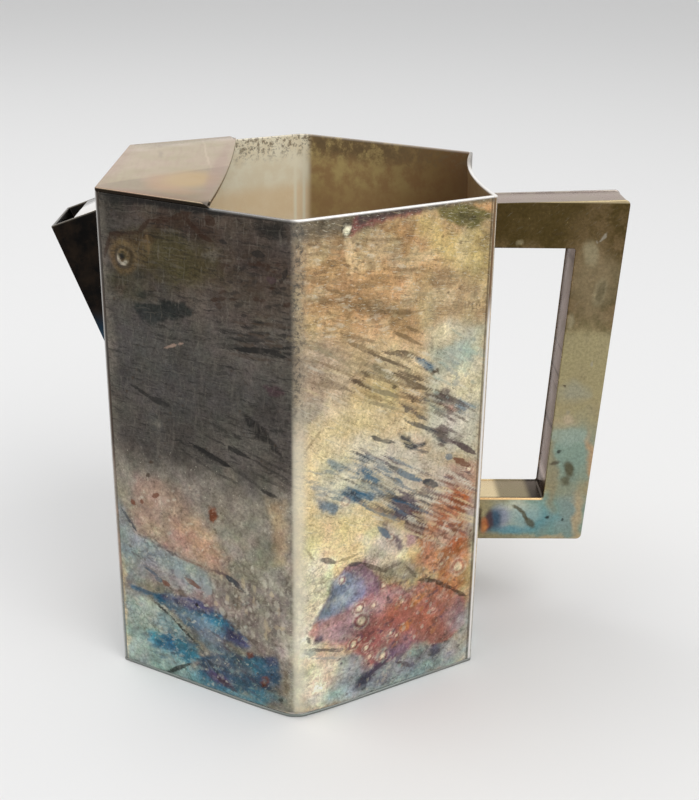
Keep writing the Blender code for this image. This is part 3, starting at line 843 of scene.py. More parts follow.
RIGHT_PATCHES = (
    Region(
        "moss",
        (
            (50, 176.5), (54, 173), (59, 169.4), (68, 168.6), (72.4, 171), (72, 176.5),
        ),
        0.9,
        0.95,
        1.0,
    ),
    Stain("soot", 61, 172.6, 5, 1.2, -8, 0.6, 0.4),
    Region("rose", ((66, 176.5), (67, 174.5), (73, 174), (73, 176.5)), 0.7, 0.9),
    Stain("soot", 15.9, 174.4, 2.4, 2.6, 0, 0.4, 0.8),
    Stain("ivory", 16.1, 174.4, 1.4, 1.8, 0, 0.3, 1.0),
    Region("wine", ((20, 171), (25, 173.2), (33, 174.8), (46, 175.4), (46, 177), (20, 177)), 0.8, 0.75),
    Region("steel", ((22, 174), (33, 175.8), (46, 176.2), (60, 177), (60, 178.5), (22, 178.5)), 0.7, 0.75),
    Region(
        "bark",
        (
            (8, 152), (20, 151.5), (32, 148), (42, 143), (38, 142.6), (26, 145), (15, 149),
        ),
        1.5,
        0.6,
        3.0,
    ),
    Region(
        "bark",
        (
            (23, 165), (30, 160.5), (40, 158), (51, 158.5), (46, 156), (36, 157), (27, 161),
        ),
        1.2,
        0.5,
        2.0,
    ),
    Region("khaki", ((2, 141), (8, 139), (16, 134), (14, 132.5), (7, 136)), 1.2, 0.7, 2.0),
    Region("denim", ((7.5, 81), (10, 78.5), (15, 77), (17.5, 79), (12, 82.5), (9, 84)), 1.0, 0.85, 4.0),
    Region("denim", ((16, 84), (20, 86), (24, 84), (31, 81), (29, 78.6), (22, 79.5)), 1.0, 0.95, 4.0),
    Region("denim", ((12, 98), (16, 95.5), (21, 95), (19, 92), (14, 94)), 0.9, 0.7, 4.0),
    Region("denim", ((24, 96.5), (28, 96), (31, 93.5), (25, 93)), 0.9, 0.7, 3.0),
    Region("blue", ((25.5, 92.4), (28.5, 91), (30, 88.5), (34, 86.5), (31, 85), (27.5, 88)), 0.9, 0.85, 4.0),
    Region("violet", ((36.5, 78), (42, 79), (48, 75), (50, 69), (46, 66), (41, 68), (38, 72)), 1.0, 0.9, 1.6),
    Region("violet", ((38.6, 63.5), (41, 63), (43.5, 57.5), (41, 56), (38, 60)), 0.8, 0.8, 2.0),
    Region("violet", ((32, 69), (35, 68), (38, 63), (40, 60), (37.6, 59), (34.4, 64)), 0.8, 0.7, 3.0),
    Region("plum", ((42, 69), (49, 70), (53, 65), (51, 60), (46, 61), (43, 64)), 0.9, 0.85, 1.6),
    Stain("burnt", 66, 70, 3.4, 4.6, -20, 0.5, 0.9),
    Stain("burnt", 60, 62, 5, 4, -30, 0.6, 0.6),
    Stain("slate", 71.5, 62, 2.6, 6, 0, 0.6, 0.6),
    Region("denim", ((21, 86), (26, 85), (34, 81), (33, 78.4), (26, 79.4), (21, 81)), 1.0, 0.5, 3.0),
    Region("mauve", ((43, 62), (48, 63), (48, 57.5), (44, 57)), 1.0, 0.8, 2.0),
    Region("plum", ((47.5, 62), (51, 62.5), (51.5, 59.5), (48.5, 59)), 0.7, 0.8),
    Region("plum", ((50.5, 114), (57, 113.5), (62, 110.5), (63, 106), (59, 107), (54, 109)), 0.8, 0.75, 4.0),
    Region("maroon", ((56, 109), (60, 108.5), (63.5, 105), (60, 105)), 0.8, 0.7, 2.0),
    Region("denim", ((61, 111), (66, 108), (70, 105), (68, 103), (63.5, 104), (61.5, 107)), 0.8, 0.75, 5.0),
    Region(
        "plum",
        (
            (52.6, 99.5), (56, 101), (58.5, 99), (64, 93), (60, 93), (57.6, 93), (55, 96),
        ),
        0.7,
        0.8,
        3.5,
    ),
    Region("ink", ((40, 101), (43, 99), (46, 96), (50, 95), (46, 94), (42.5, 95.5)), 0.6, 0.9, 1.0),
    Region("blue", ((45, 127.5), (48, 126.5), (52, 123.5), (52, 121.8), (48.5, 122.8)), 0.6, 0.9, 1.0),
    Region("umber", ((51, 122), (54.5, 122), (55, 120.2), (52, 119.8)), 0.5, 0.9),
    Region("khaki", ((25, 129.5), (29, 128.5), (37, 123), (35, 121.5), (29, 124.5)), 0.8, 0.85, 2.0),
    Region("stone", ((39, 54), (46, 51.5), (50, 44), (47, 42), (41, 44), (35, 47), (31, 51)), 1.5, 0.75, 2.0),
    Region(
        "maroon",
        (
            (20, 56), (27, 56), (31, 51), (35, 45.5), (42, 43), (46, 38), (50, 41.5), (58, 39.5),
            (66, 34), (71, 30), (72, 24), (71, 17), (66, 13), (58, 12), (54, 15), (42, 13),
            (33, 10.5), (28, 17), (22, 23), (10, 29), (6, 33), (6, 37), (10, 42), (13, 46),
            (14, 51),
        ),
        0.9,
        0.95,
    ),
    Region("mauve", ((6, 34), (12, 39), (26, 41), (28, 33), (24, 25), (16, 26), (9, 30)), 2.0, 0.9),
    Region(
        "iris",
        (
            (6, 37), (10, 42), (13, 46), (14, 51), (19, 55), (25, 53), (29, 47), (28, 42),
            (18, 39),
        ),
        1.5,
        0.95,
    ),
    Region(
        "lilac",
        (
            (20, 56), (27, 56), (31, 51), (35, 45), (33, 40), (29, 43), (27, 49), (22, 52),
        ),
        1.6,
        0.85,
    ),
    Stain("haze", 20, 44.5, 4.5, 2.6, 10, 0.5, 0.6),
    Stain("orchid", 24, 34, 10, 6, 10, 0.6, 0.75),
    Stain("orchid", 38, 38, 10, 5, -20, 0.6, 0.6),
    Stain("mauve", 44, 24, 14, 6, 10, 0.6, 0.4),
    Stain("burnt", 42, 33, 7, 5, -10, 0.6, 0.6),
    Stain("wine", 30, 27, 7, 8, 0, 0.6, 0.7),
    Stain("wine", 44, 26, 9, 7, 0, 0.6, 0.5),
    Stain("wine", 58, 27, 5, 4, 0, 0.6, 0.5),
    Stain("lilac", 27, 51, 4.4, 4, 30, 0.6, 0.6),
    Stain("denim", 12, 42, 5, 2.6, 25, 0.5, 0.45),
    Stain("denim", 17, 49, 4, 3, 40, 0.5, 0.5),
    Stain("mist", 20.6, 45, 3.4, 1.8, 15, 0.5, 0.6),
    Stain("mist", 40, 4, 40, 6, 0, 0.6, 0.6),
    Stain("wine", 31, 17, 4, 7, 0, 0.6, 0.7),
    Region(
        "grape",
        (
            (23, 5), (28, 5.6), (36, 11), (42, 14), (40, 16.6), (33, 13.4), (27, 9.6),
        ),
        1.0,
        0.8,
        1.5,
    ),
    Stain("grape", 42, 15.4, 6, 2.4, 0, 0.6, 0.7),
    Stain("grape", 49, 9, 6, 2.4, 0, 0.7, 0.35),
    Stain("grape", 68, 24, 3, 6, 0, 0.6, 0.5),
    Stain("grape", 57, 9, 2.2, 2.4, 0, 0.5, 0.7),
    Stain("rust", 54, 30, 9, 8, 0, 0.6, 0.45),
    Stain("maroon", 60, 22, 9, 6, 0, 0.6, 0.5),
    Stain("burnt", 64, 38, 6, 4, -35, 0.5, 0.6),
    Stain("burnt", 54, 24, 4, 5, 0, 0.6, 0.3),
    Stain("amber", 49.6, 34, 2.6, 2.2, 20, 0.5, 0.8),
    Stain("amber", 46.5, 24.5, 2.6, 1.6, 25, 0.5, 0.75),
    Stain("mauve", 66, 22, 6, 7, 0, 0.6, 0.8),
    Stain("slate", 70, 17, 4, 6, 10, 0.5, 0.6),
    Stain("lilac", 41, 16, 9, 3, 0, 0.6, 0.5),
    Stain("ink", 27, 7, 4, 2.2, 30, 0.5, 0.55),
    Stain("aqua", 50, 12, 3, 3, 0, 0.5, 0.7),
    Stain("aqua", 54, 3, 16, 2.4, 0, 0.6, 0.5),
    Stain("ivory", 7, 9, 6, 9, 0, 0.6, 0.5),
    Region("violet", ((8, 32), (10.5, 32), (11, 30), (9, 28.8), (7.6, 29.8)), 0.7, 0.85),
    Stain("sand", 2.6, 7, 1.6, 4, 0, 0.5, 0.7),
    # Painted highlight down the corner at the handle end.
    Stain("fog", 74.5, 18, 2.6, 16, 0, 0.6, 0.7),
    Stain("sky", 74, 52, 2.0, 14, 0, 0.6, 0.6),
)
RIGHT_MARKS = (
    Dash("bark", (35, 138.5), (48, 131), 1.4, 0.75),
    Dash("bark", (40, 139), (48, 135), 1.0, 0.7),
    Dash("bark", (18, 137.4), (31, 131), 1.6, 0.7),
    Dash("bark", (19, 139.5), (30, 135), 1.4, 0.6),
    Dash("umber", (22, 135), (46, 122), 1.2, 0.75),
    Dash("umber", (30, 132.5), (48, 126), 1.2, 0.7),
    Dash("umber", (37, 131.4), (47, 127), 1.3, 0.8),
    Dash("umber", (34, 125), (53, 113.5), 1.4, 0.8),
    Dash("umber", (40, 120.5), (49, 115.2), 2.2, 0.75),
    Dash("umber", (38, 124), (50, 118), 1.4, 0.8),
    Dash("umber", (23.5, 126.5), (28.5, 123.4), 1.9, 0.8),
    Dash("umber", (20, 124.4), (28.5, 119.2), 2.0, 0.85),
    Dash("khaki", (28, 119.6), (40, 114), 1.8, 0.8),
    Dash("khaki", (25, 116), (42, 109), 1.2, 0.7),
    Dash("umber", (44.2, 113.6), (45, 111.4), 1.6, 0.8),
    Dash("umber", (36, 118.6), (38, 118.4), 1.5, 0.8),
    Dash("ink", (41, 110.4), (43.6, 108.8), 2.4, 0.75),
    Dash("ink", (44, 108.6), (51, 103.6), 1.4, 0.85),
    Dash("ink", (40, 106.8), (56, 98), 1.6, 0.75),
    Dash("plum", (61, 94.6), (73, 86), 2.2, 0.9),
    Dash("ink", (28.6, 102.6), (33, 100), 1.6, 0.85),
    Dash("ink", (31.5, 100.6), (38.5, 98.2), 1.3, 0.8),
    Dash("ink", (42, 96), (53, 91), 1.0, 0.6),
    Dash("ink", (35, 91), (42, 86), 1.5, 0.8),
    Dash("denim", (38, 88), (50, 81), 2.0, 0.85),
    Dash("ink", (49, 82), (57, 77.4), 2.8, 0.9),
    Dash("pearl", (54.8, 78.6), (56, 78), 1.4, 0.9),
    Dash("denim", (59, 89), (62.5, 87), 2.2, 0.75),
    Dash("sienna", (62, 87.6), (71, 81.6), 2.4, 0.85),
    Dash("ink", (32, 81), (45, 74), 1.3, 0.7),
    Dash("ink", (30, 76), (38, 71.5), 1.0, 0.7),
    Dash("ink", (44, 78.5), (58, 72), 1.1, 0.7),
    Dash("denim", (31.5, 69), (38, 62), 2.0, 0.75),
    Dash("ink", (9, 62), (16, 58.8), 2.0, 0.8),
    Dash("bark", (2.6, 69), (8, 61), 0.8, 0.5),
    Dash("bark", (15, 59), (26, 60), 1.0, 0.5),
    Dash("ink", (20, 56.6), (26, 55.8), 1.6, 0.7),
    Dash("umber", (25, 56.4), (37, 49), 1.5, 0.7),
    Dash("umber", (33, 50), (44, 51.6), 1.4, 0.5),
    Dash("umber", (43, 51), (50, 42.4), 1.2, 0.6),
    Dash("umber", (49.5, 42.4), (58, 39.6), 1.8, 0.85),
    Dash("umber", (56, 40.4), (66, 33.6), 1.7, 0.85),
    Dash("umber", (64, 34.6), (72, 29), 1.6, 0.8),
    Dash("sienna", (63, 59), (66.5, 57.6), 2.4, 0.8),
    Dash("ink", (2, 29), (21, 22.4), 1.2, 0.7),
    Dash("slate", (4, 25), (20, 19.6), 0.9, 0.6),
    Dash("ink", (4.4, 33.6), (5.6, 30), 1.4, 0.7),
    Dash("denim", (3, 27.6), (8, 25), 2.0, 0.5),
    Dash("violet", (29, 8.4), (38.5, 13.6), 1.9, 0.75),
    Dash("plum", (41, 11), (49, 6), 1.9, 0.7),
    Dash("ink", (55, 10), (59, 9), 3.0, 0.5),
    Dash("bark", (1, 99.4), (10, 109), 0.8, 0.5),
    Brush(("umber", "bark", "khaki"), 33, 124, 24, 11, -28, 26, 22.0, 0.9, 0.65),
    Brush(("bark", "khaki"), 12, 132, 13, 9, -27, 20, 13.0, 0.9, 0.5),
    Brush(("umber", "plum", "ink"), 55, 105, 16, 9, -33, 26, 16.0, 0.7, 0.8),
    Brush(("ink", "blue", "violet", "denim"), 37, 82, 22, 11, -34, 56, 17.0, 0.9, 0.85),
    Brush(("pearl", "cream"), 38, 80, 24, 12, -33, 24, 14.0, 0.9, 0.55),
    Brush(("pearl", "sand", "cream"), 60, 68, 14, 14, -31, 60, 16.0, 0.75, 0.75),
    Brush(("plum", "violet", "sienna"), 60, 70, 14, 14, -31, 46, 15.0, 0.75, 0.75),
    Brush(("denim", "haze", "blue"), 18, 89, 13, 8, -24, 28, 9.0, 0.9, 0.6),
    Brush(("pearl", "cream"), 32, 118, 28, 20, -30, 40, 12.0, 0.8, 0.5),
    Brush(("bark", "khaki"), 30, 156, 30, 14, -9, 40, 16.0, 0.9, 0.5),
    Brush(("pearl", "cream"), 26, 154, 28, 18, -12, 50, 5.0, 0.9, 0.4),
    Brush(("umber", "bark"), 12, 158, 13, 16, -20, 50, 4.0, 1.0, 0.55),
    Brush(("khaki", "umber"), 67, 143, 3, 8, 88, 18, 4.0, 1.0, 0.45),
    Brush(("aqua", "pearl"), 62, 120, 12, 14, -35, 26, 8.0, 1.1, 0.4),
    Brush(("denim", "slate"), 62, 124, 10, 10, -30, 14, 5.0, 1.2, 0.45),
    Brush(("violet", "plum", "grape"), 40, 28, 28, 16, 20, 80, 3.0, 1.2, 0.65),
    Brush(("pearl", "sand"), 40, 28, 28, 16, 70, 44, 2.4, 1.0, 0.5),
    Brush(("burnt", "amber"), 52, 30, 18, 12, 50, 30, 4.0, 1.4, 0.5),
    Brush(("ink", "grape", "plum"), 46, 8, 28, 6, 10, 36, 4.0, 1.2, 0.55),
    Brush(("aqua", "pearl"), 36, 8, 34, 7, 60, 44, 3.0, 1.1, 0.5),
    Brush(("sienna", "umber"), 62, 54, 10, 10, 30, 24, 3.0, 1.4, 0.5),
    Brush(("pearl", "sand"), 60, 54, 10, 10, 60, 24, 3.0, 1.1, 0.5),
)
DROPS = (
    (18, 51.5, 1.2, 0.7), (25, 38.3, 1.7, 0.7), (26, 33, 2.3, 0.7), (23, 24.3, 1.6, 0.7),
    (28.5, 21, 1.3, 0.6), (35.5, 15.3, 1.8, 0.5), (39, 24, 1.1, 0.5), (41.2, 22, 1.0, 0.5),
    (67, 43, 2.4, 0.5), (43, 35.5, 1.1, 0.5), (35, 44.5, 1.3, 0.5), (31, 37.5, 1.2, 0.4),
    (37.5, 62.5, 1.4, 0.5), (19, 81, 1.5, 0.4), (57, 28, 1.2, 0.4), (60, 46, 1.3, 0.4),
    (70, 81.5, 1.4, 0.4), (30, 17, 1.2, 0.4),
)


def left_face(tarnish):
    """Gunmetal above and salmon, fog and blue below a soft edge with fingers."""
    everywhere = np.ones(len(tarnish.up))
    tarnish.lay("gunmetal", everywhere)
    tarnish.paint(LEFT_HIGH)
    if tarnish.whole:
        # The blister's marks, with its painted highlight.
        tarnish.eye(BLISTER_ALONG, BLISTER_UP + 0.2)
    upper = tarnish.colour
    tarnish.lay("taupe", everywhere)
    tarnish.paint(LEFT_LOW)
    bubbles = tarnish.noise(3.0, 31, 4, 0.8)
    tarnish.lay("pearl", 0.16 * ease(bubbles, 0.55, 0.78))
    tarnish.lay("umber", 0.24 * ease(bubbles, 0.45, 0.25))
    fingers = lumps(tarnish.along, tarnish.up * 0.35, 9.0, tarnish.seed + 41, 3) - 0.5
    keep = ease(tarnish.broad[1] + 16 * fingers, 78, 95)[:, None]
    tarnish.colour = upper * keep + tarnish.colour * (1 - keep)
    return tarnish.colour


def right_face(tarnish):
    """Rose and gold above, cream in the middle, rust and maroon below, with dried drops."""
    tarnish.lay("honey", np.ones(len(tarnish.up)))
    tarnish.paint(RIGHT_FIELDS)
    high = ease(tarnish.up, 128, 142)
    tarnish.cloud("bark", 0.45, 9.0, 56, 0.52, 0.68, high)
    tarnish.cloud("cream", 0.35, 7.0, 57, 0.55, 0.70, high)
    band = ease(tarnish.up + 6 * tarnish.ragged, 171.0, 174.5) * (1 - ease(tarnish.along, 22, 34))
    tarnish.lay("steel", np.maximum(0.75 * band, 0.6 * ease(tarnish.up, 175.2, 176.6)))
    tarnish.paint(RIGHT_PATCHES)
    for drop in DROPS if tarnish.whole else ():
        tarnish.ring(*drop)
    bubbles = tarnish.noise(4.0, 61, 4, 0.75)
    below = 1 - ease(tarnish.up, 52, 64)
    tarnish.lay("pearl", 0.22 * ease(bubbles, 0.58, 0.76) * below)
    tarnish.lay("plum", 0.28 * ease(bubbles, 0.42, 0.24) * below)
    return tarnish.colour


def tarnished(along, up, seed=0, whole=False, finest=1.3):
    """Layers of both faces of a wall: ground colours, the marks on them, and where streaks are drawn out."""
    tarnish = Tarnish(along, up, seed, whole, finest)
    left = left_face(tarnish)
    right = right_face(tarnish)
    across = ease(along, -1.5, 1.5)[:, None]
    tarnish.colour = left * (1 - across) + right * across
    low = 1 - ease(up, 56, 84)[:, None]
    calm = across * (ease(up, 52, 64) * (1 - ease(up, 108, 124)))[:, None]
    tone = (tarnish.noise(9.0, 81, 5, 0.75)[:, None] - 0.5) * (1.0 + 0.5 * low) * (1 - 0.45 * calm)
    hue = (np.stack([tarnish.noise(6.0, 91 + i, 4, 0.7) for i in range(3)], 1) - 0.5) * (0.12 + 0.14 * low)
    tarnish.colour = tarnish.colour * (1 + tone) * (1 + hue)
    grey = tarnish.colour.mean(1)[:, None]
    rich = 1.08 - 0.06 * across * ease(up, 50, 70)[:, None]
    lifted = 1 + 0.09 * across * (1 - ease(up, 44, 64)[:, None])
    tarnish.colour = np.clip((grey + rich * (tarnish.colour - grey)) * lifted, 0.006, 0.95)
    tarnish.draw(LEFT_MARKS + RIGHT_MARKS)
    on_right = ease(along, 0, 3)
    above = ease(up, 84, 98)
    sooty = (1 - on_right) * above
    barky = on_right * ease(up, 126, 142)
    middle = on_right * ease(up, 56, 70) * (1 - ease(up, 126, 142))
    below = (1 - ease(up, 56, 70)) * (1 - above)
    tarnish.drawn = np.stack([sooty, barky, middle, below], 1)
    return tarnish


# Shader maths

class Value:
    """A socket of a shader. Arithmetic on it adds Math nodes."""

    def __init__(self, finish, socket):
        self.finish = finish
        self.socket = socket

    def maths(self, operation, first, second):
        return self.finish.node("ShaderNodeMath", {"operation": operation}, {0: first, 1: second})

    def __add__(self, other):
        return self.maths("ADD", self, other)

    def __sub__(self, other):
        return self.maths("SUBTRACT", self, other)

    def __rsub__(self, other):
        return self.maths("SUBTRACT", other, self)

    def __mul__(self, other):
        return self.maths("MULTIPLY", self, other)

    __radd__ = __add__
    __rmul__ = __mul__

    def rises(self, start, end, low=0.0, high=1.0):
        """Goes smoothly from low to high as this value goes from start to end."""
        inputs = {0: self, 1: start, 2: end, 3: low, 4: high}
        settings = {"interpolation_type": "SMOOTHSTEP", "clamp": False}
        return self.finish.node("ShaderNodeMapRange", settings, inputs)


class Shading:
    """Nodes of a shader, all of them made by one method."""

    def __init__(self, owner):
        owner.use_nodes = True
        self.tree = owner.node_tree
        self.tree.nodes.clear()

    def node(self, kind, settings=None, inputs=None, output=0):
        """Any node: its settings are set first, then the values or links of its sockets."""
        made = self.tree.nodes.new(kind)
        for name, value in (settings or {}).items():
            setattr(made, name, value)
        for key, value in (inputs or {}).items():
            if isinstance(value, Value):
                self.tree.links.new(value.socket, made.inputs[key])
            else:
                made.inputs[key].default_value = value
        return Value(self, made.outputs[output]) if made.outputs else None


class Finish(Shading):
    """One procedural metal. Colour, roughness and relief are built up in layers over face coordinates."""

    def __init__(self, name):
        self.material = bpy.data.materials.new(name)
        super().__init__(self.material)
        place = self.node("ShaderNodeTexCoord", output="Object")
        self.place = self.vector("MULTIPLY", place, (MM, MM, MM))
        parts = {"Vector": self.place}
        self.x, self.y, self.z = (self.node("ShaderNodeSeparateXYZ", {}, parts, axis) for axis in "XYZ")

    def vector(self, operation, first, second):
        output = "Value" if operation == "LENGTH" else "Vector"
        return self.node("ShaderNodeVectorMath", {"operation": operation}, {0: first, 1: second}, output)

    def scaled(self, shade, factor):
        """A colour made lighter or darker by a factor."""
        return self.node("ShaderNodeVectorMath", {"operation": "SCALE"}, {"Vector": shade, "Scale": factor})

    def mix(self, factor, first, second):
        return self.node("ShaderNodeMix", {"data_type": "RGBA"}, {0: factor, 6: first, 7: second}, 2)

    def noise(self, where, size, detail=3.0, roughness=0.55, output="Fac"):
        """Soft noise whose lumps are about size millimetres across."""
        inputs = {"Vector": where, "Scale": 1 / size, "Detail": detail, "Roughness": roughness}
        return self.node("ShaderNodeTexNoise", {}, inputs, output)

    def face(self, along, up):
        """Face coordinates, in millimetres, and the same bent by coarse and by fine noise."""
        self.flat(along, up)
        coarse = self.vector("SUBTRACT", self.noise(self.plane, 17.0, 2.0, output="Color"), (0.5, 0.5, 0.5))
        self.broad = self.vector("ADD", self.close, self.vector("MULTIPLY", coarse, (16.0, 16.0, 0)))

    def flat(self, along, up):
        """Face coordinates, in millimetres, and the same bent by fine noise."""
        self.plane = self.node("ShaderNodeCombineXYZ", {}, {0: along, 1: up})
        fine = self.vector("SUBTRACT", self.noise(self.plane, 4.0, 4.0, 0.6, output="Color"), (0.5, 0.5, 0.5))
        self.close = self.vector("ADD", self.plane, self.vector("MULTIPLY", fine, (2.6, 2.6, 0)))

    def flat_turned(self, turn, reach, width):
        """Face coordinates along and across a direction, in units of reach and width."""
        return self.turned(self.close, (0, 0), (reach, width), turn)

    def streaks(self, reach, width, turn, start, end):
        """Long thin lenses in one direction, from noise that is stretched along it."""
        return self.noise(self.flat_turned(turn, reach, width), 1.0, 2.5, 0.5).rises(start, end)

    def with_rim_highlight(self, base):
        """The base colour with a painted highlight along the rim of the mouth, most on the handle side of the
        front.
        """
        edge = self.z.rises(RIM * MM - 0.9, RIM * MM - 0.25)
        open_part = self.x.rises(GUARD_EDGE * MM - 3.0, GUARD_EDGE * MM, 0.0, 0.18)
        front = self.y.rises(20.0, 0.0) * self.x.rises(-2.0, 2.0) * 0.7
        return self.mix(edge * (open_part + front), base, tint("bright"))

    def turned(self, where, centre, size, turn):
        """Coordinates inside an ellipse: its middle is 0 and its edge is 1."""
        inputs = {
            "Vector": where,
            "Location": (*centre, 0),
            "Rotation": (0, 0, math.radians(turn)),
            "Scale": (*size, 1),
        }
        return self.node("ShaderNodeMapping", {"vector_type": "TEXTURE"}, inputs)

    def blot(self, where, stain):
        """1 inside the stain and 0 outside it, with an edge as soft as the stain says."""
        inside = self.turned(where, (stain.along, stain.up), (stain.reach, stain.width), stain.turn)
        reach = self.vector("LENGTH", inside, (0, 0, 0))
        return reach.rises(1 - stain.soft, 1 + stain.soft, stain.strength, 0.0)

    def stained(self, base, where, stains):
        """The base colour with the stains laid over it in order."""
        for stain in stains:
            base = self.mix(self.blot(where, stain), base, tint(stain.colour))
        return base

    def finish(self, base, roughness, relief=None, metallic=1.0, glance=None):
        """Ends the material in a metal.

        relief is a height in millimetres, and glance the tint of flat reflections.
        """
        inputs = {"Base Color": base, "Roughness": roughness, "Metallic": metallic}
        if glance is not None:
            inputs["Specular Tint"] = glance
        if relief is not None:
            inputs["Normal"] = self.node(
                "ShaderNodeBump", {}, {"Strength": 1.0, "Distance": 0.001, "Height": relief}, "Normal"
            )
        shader = self.node("ShaderNodeBsdfPrincipled", {}, inputs, "BSDF")
        self.node("ShaderNodeOutputMaterial", {}, {"Surface": shader})
        return self.material


def painted_plate(name):
    """Tarnished plate: painted ground colours, torn marks, drawn-out streaks, specks, and along the fold a
    painted highlight below and worn specks above.
    """
    plate = Finish(name)
    base = plate.node("ShaderNodeAttribute", {"attribute_name": "tarnish"}, {}, "Color")
    face = plate.node("ShaderNodeAttribute", {"attribute_name": "face"}, {}, "Vector")
    along, up, gap = (plate.node("ShaderNodeSeparateXYZ", {}, {"Vector": face}, axis) for axis in "XYZ")
    drawn = plate.node("ShaderNodeAttribute", {"attribute_name": "drawn"}, {}, "Color")
    sooty, barky, middle = (plate.node("ShaderNodeSeparateColor", {}, {"Color": drawn}, i) for i in range(3))
    below = plate.node("ShaderNodeAttribute", {"attribute_name": "drawn"}, {}, "Alpha")
    plate.flat(along, up)
    mottle = plate.noise(plate.place, 5.0, 5.0, 0.65)
    grain = plate.noise(plate.place, 1.0, 4.0, 0.75)

    base = plate.scaled(base, grain.rises(0.25, 0.75, 0.68, 1.34) * mottle.rises(0.25, 0.75, 0.84, 1.16))
    for shade, mask, reach, width, turn, start, end in (
        ("soot", sooty * 0.55, 9.0, 1.1, -3, 0.56, 0.68),
        ("taupe", sooty * 0.2, 14.0, 0.6, 4, 0.56, 0.70),
        ("soot", sooty * 0.5, 3.0, 0.4, -5, 0.58, 0.66),
        ("taupe", sooty * 0.2, 7.0, 0.9, 86, 0.58, 0.70),
        ("bark", barky * 0.35, 9.0, 1.1, -10, 0.56, 0.70),
        ("cream", barky * 0.3, 6.0, 0.5, -12, 0.58, 0.70),
        ("umber", barky * 0.5, 4.0, 0.4, -13, 0.60, 0.67),
        ("pearl", barky * 0.42, 2.5, 0.45, -9, 0.60, 0.67),
        ("bark", middle * 0.3, 9.0, 0.7, -29, 0.58, 0.70),
        ("umber", middle * 0.45, 2.4, 0.5, -30, 0.60, 0.67),
        ("pearl", middle * 0.4, 8.0, 0.5, -32, 0.58, 0.70),
        ("umber", below * 0.3, 3.4, 1.4, -20, 0.60, 0.70),
        ("pearl", below * 0.25, 3.0, 1.0, 50, 0.62, 0.70),
    ):
        base = plate.mix(plate.streaks(reach, width, turn, start, end) * mask, base, tint(shade))
    shade = plate.node("ShaderNodeAttribute", {"attribute_name": "mark"}, {}, "Color")
    strength = plate.node("ShaderNodeAttribute", {"attribute_name": "mark"}, {}, "Alpha")
    torn = plate.noise(plate.flat_turned(-22, 3.4, 0.6), 1.0, 4.0, 0.7) - 0.5
    inside = (gap + torn * 1.9).rises(0.28, -0.16) * mottle.rises(0.35, 0.55, 0.72, 1.0)
    base = plate.mix(inside * strength, base, shade)

    specks = plate.node("ShaderNodeTexVoronoi", {}, {"Vector": plate.place, "Scale": 0.33}, "Distance")
    specks = specks.rises(0.26, 0.12) * mottle.rises(0.50, 0.62) * (1 - middle * 0.5)
    base = plate.mix(specks * 0.5, base, tint("umber"))
    flecks = plate.noise(plate.place, 1.5, 3.0, 0.7).rises(0.64, 0.70)
    base = plate.mix(flecks * (1 - sooty * 0.85 - middle * 0.4) * 0.38, base, tint("pearl"))
    pits = plate.noise(plate.vector("ADD", plate.place, (31.0, 17.0, 9.0)), 1.3, 3.0, 0.75).rises(0.63, 0.69)
    base = plate.mix(pits * (1 - middle * 0.6) * 0.32, base, tint("umber"))
    slow = {"Vector": plate.place, "Scale": 0.3, "Detail": 3.0}
    drift = plate.node("ShaderNodeTexNoise", {}, slow, "Color")
    bent = plate.vector("ADD", plate.place, plate.vector("MULTIPLY", drift, (5.0, 5.0, 0.0)))
    cells = {"feature": "DISTANCE_TO_EDGE"}
    crackle = plate.node("ShaderNodeTexVoronoi", cells, {"Vector": bent, "Scale": 0.34}, "Distance")
    patchy = below * plate.noise(plate.place, 14.0, 3.0, 0.6).rises(0.50, 0.62)
    base = plate.mix(crackle.rises(0.09, 0.03) * patchy * 0.30, base, tint("umber"))
    base = plate.mix(crackle.rises(0.16, 0.3) * patchy * 0.16, base, tint("pearl"))
    # Along the fold: below 100 to 128 mm a pearl strip, a painted highlight where the bent sheet catches the
    # light; above, worn specks of taupe, steel and moon grey.
    near = along.rises(-1.8, 0.0) * along.rises(6.0, 1.6)
    high = up.rises(100, 128)
    base = plate.mix(near * (1 - high) * 0.62, base, tint("pearl"))
    chips = plate.noise(plate.place, 1.8, 5.0, 0.8)
    worn = near * high
    base = plate.mix(worn * 0.5, base, tint("taupe"))
    base = plate.mix(worn * chips.rises(0.50, 0.42) * 0.7, base, tint("steel"))
    base = plate.mix(worn * chips.rises(0.58, 0.66) * 0.45, base, tint("moon"))
    # At the corner by the handle: an umber line at the seam, and beside it a silver strip, a painted
    # highlight along the bend.
    end = along.rises(72.6, 73.0) * along.rises(76.0, 75.4)
    base = plate.mix(end * along.rises(73.8, 73.4) * 0.6, base, tint("umber"))
    base = plate.mix(end * along.rises(73.5, 74.0) * 0.4, base, tint("silver"))
    # Ends with the painted highlight along the rim.
    return plate.finish(plate.with_rim_highlight(base), mottle.rises(0.3, 0.7, 0.26, 0.40), mottle * 0.05 + grain * 0.02)


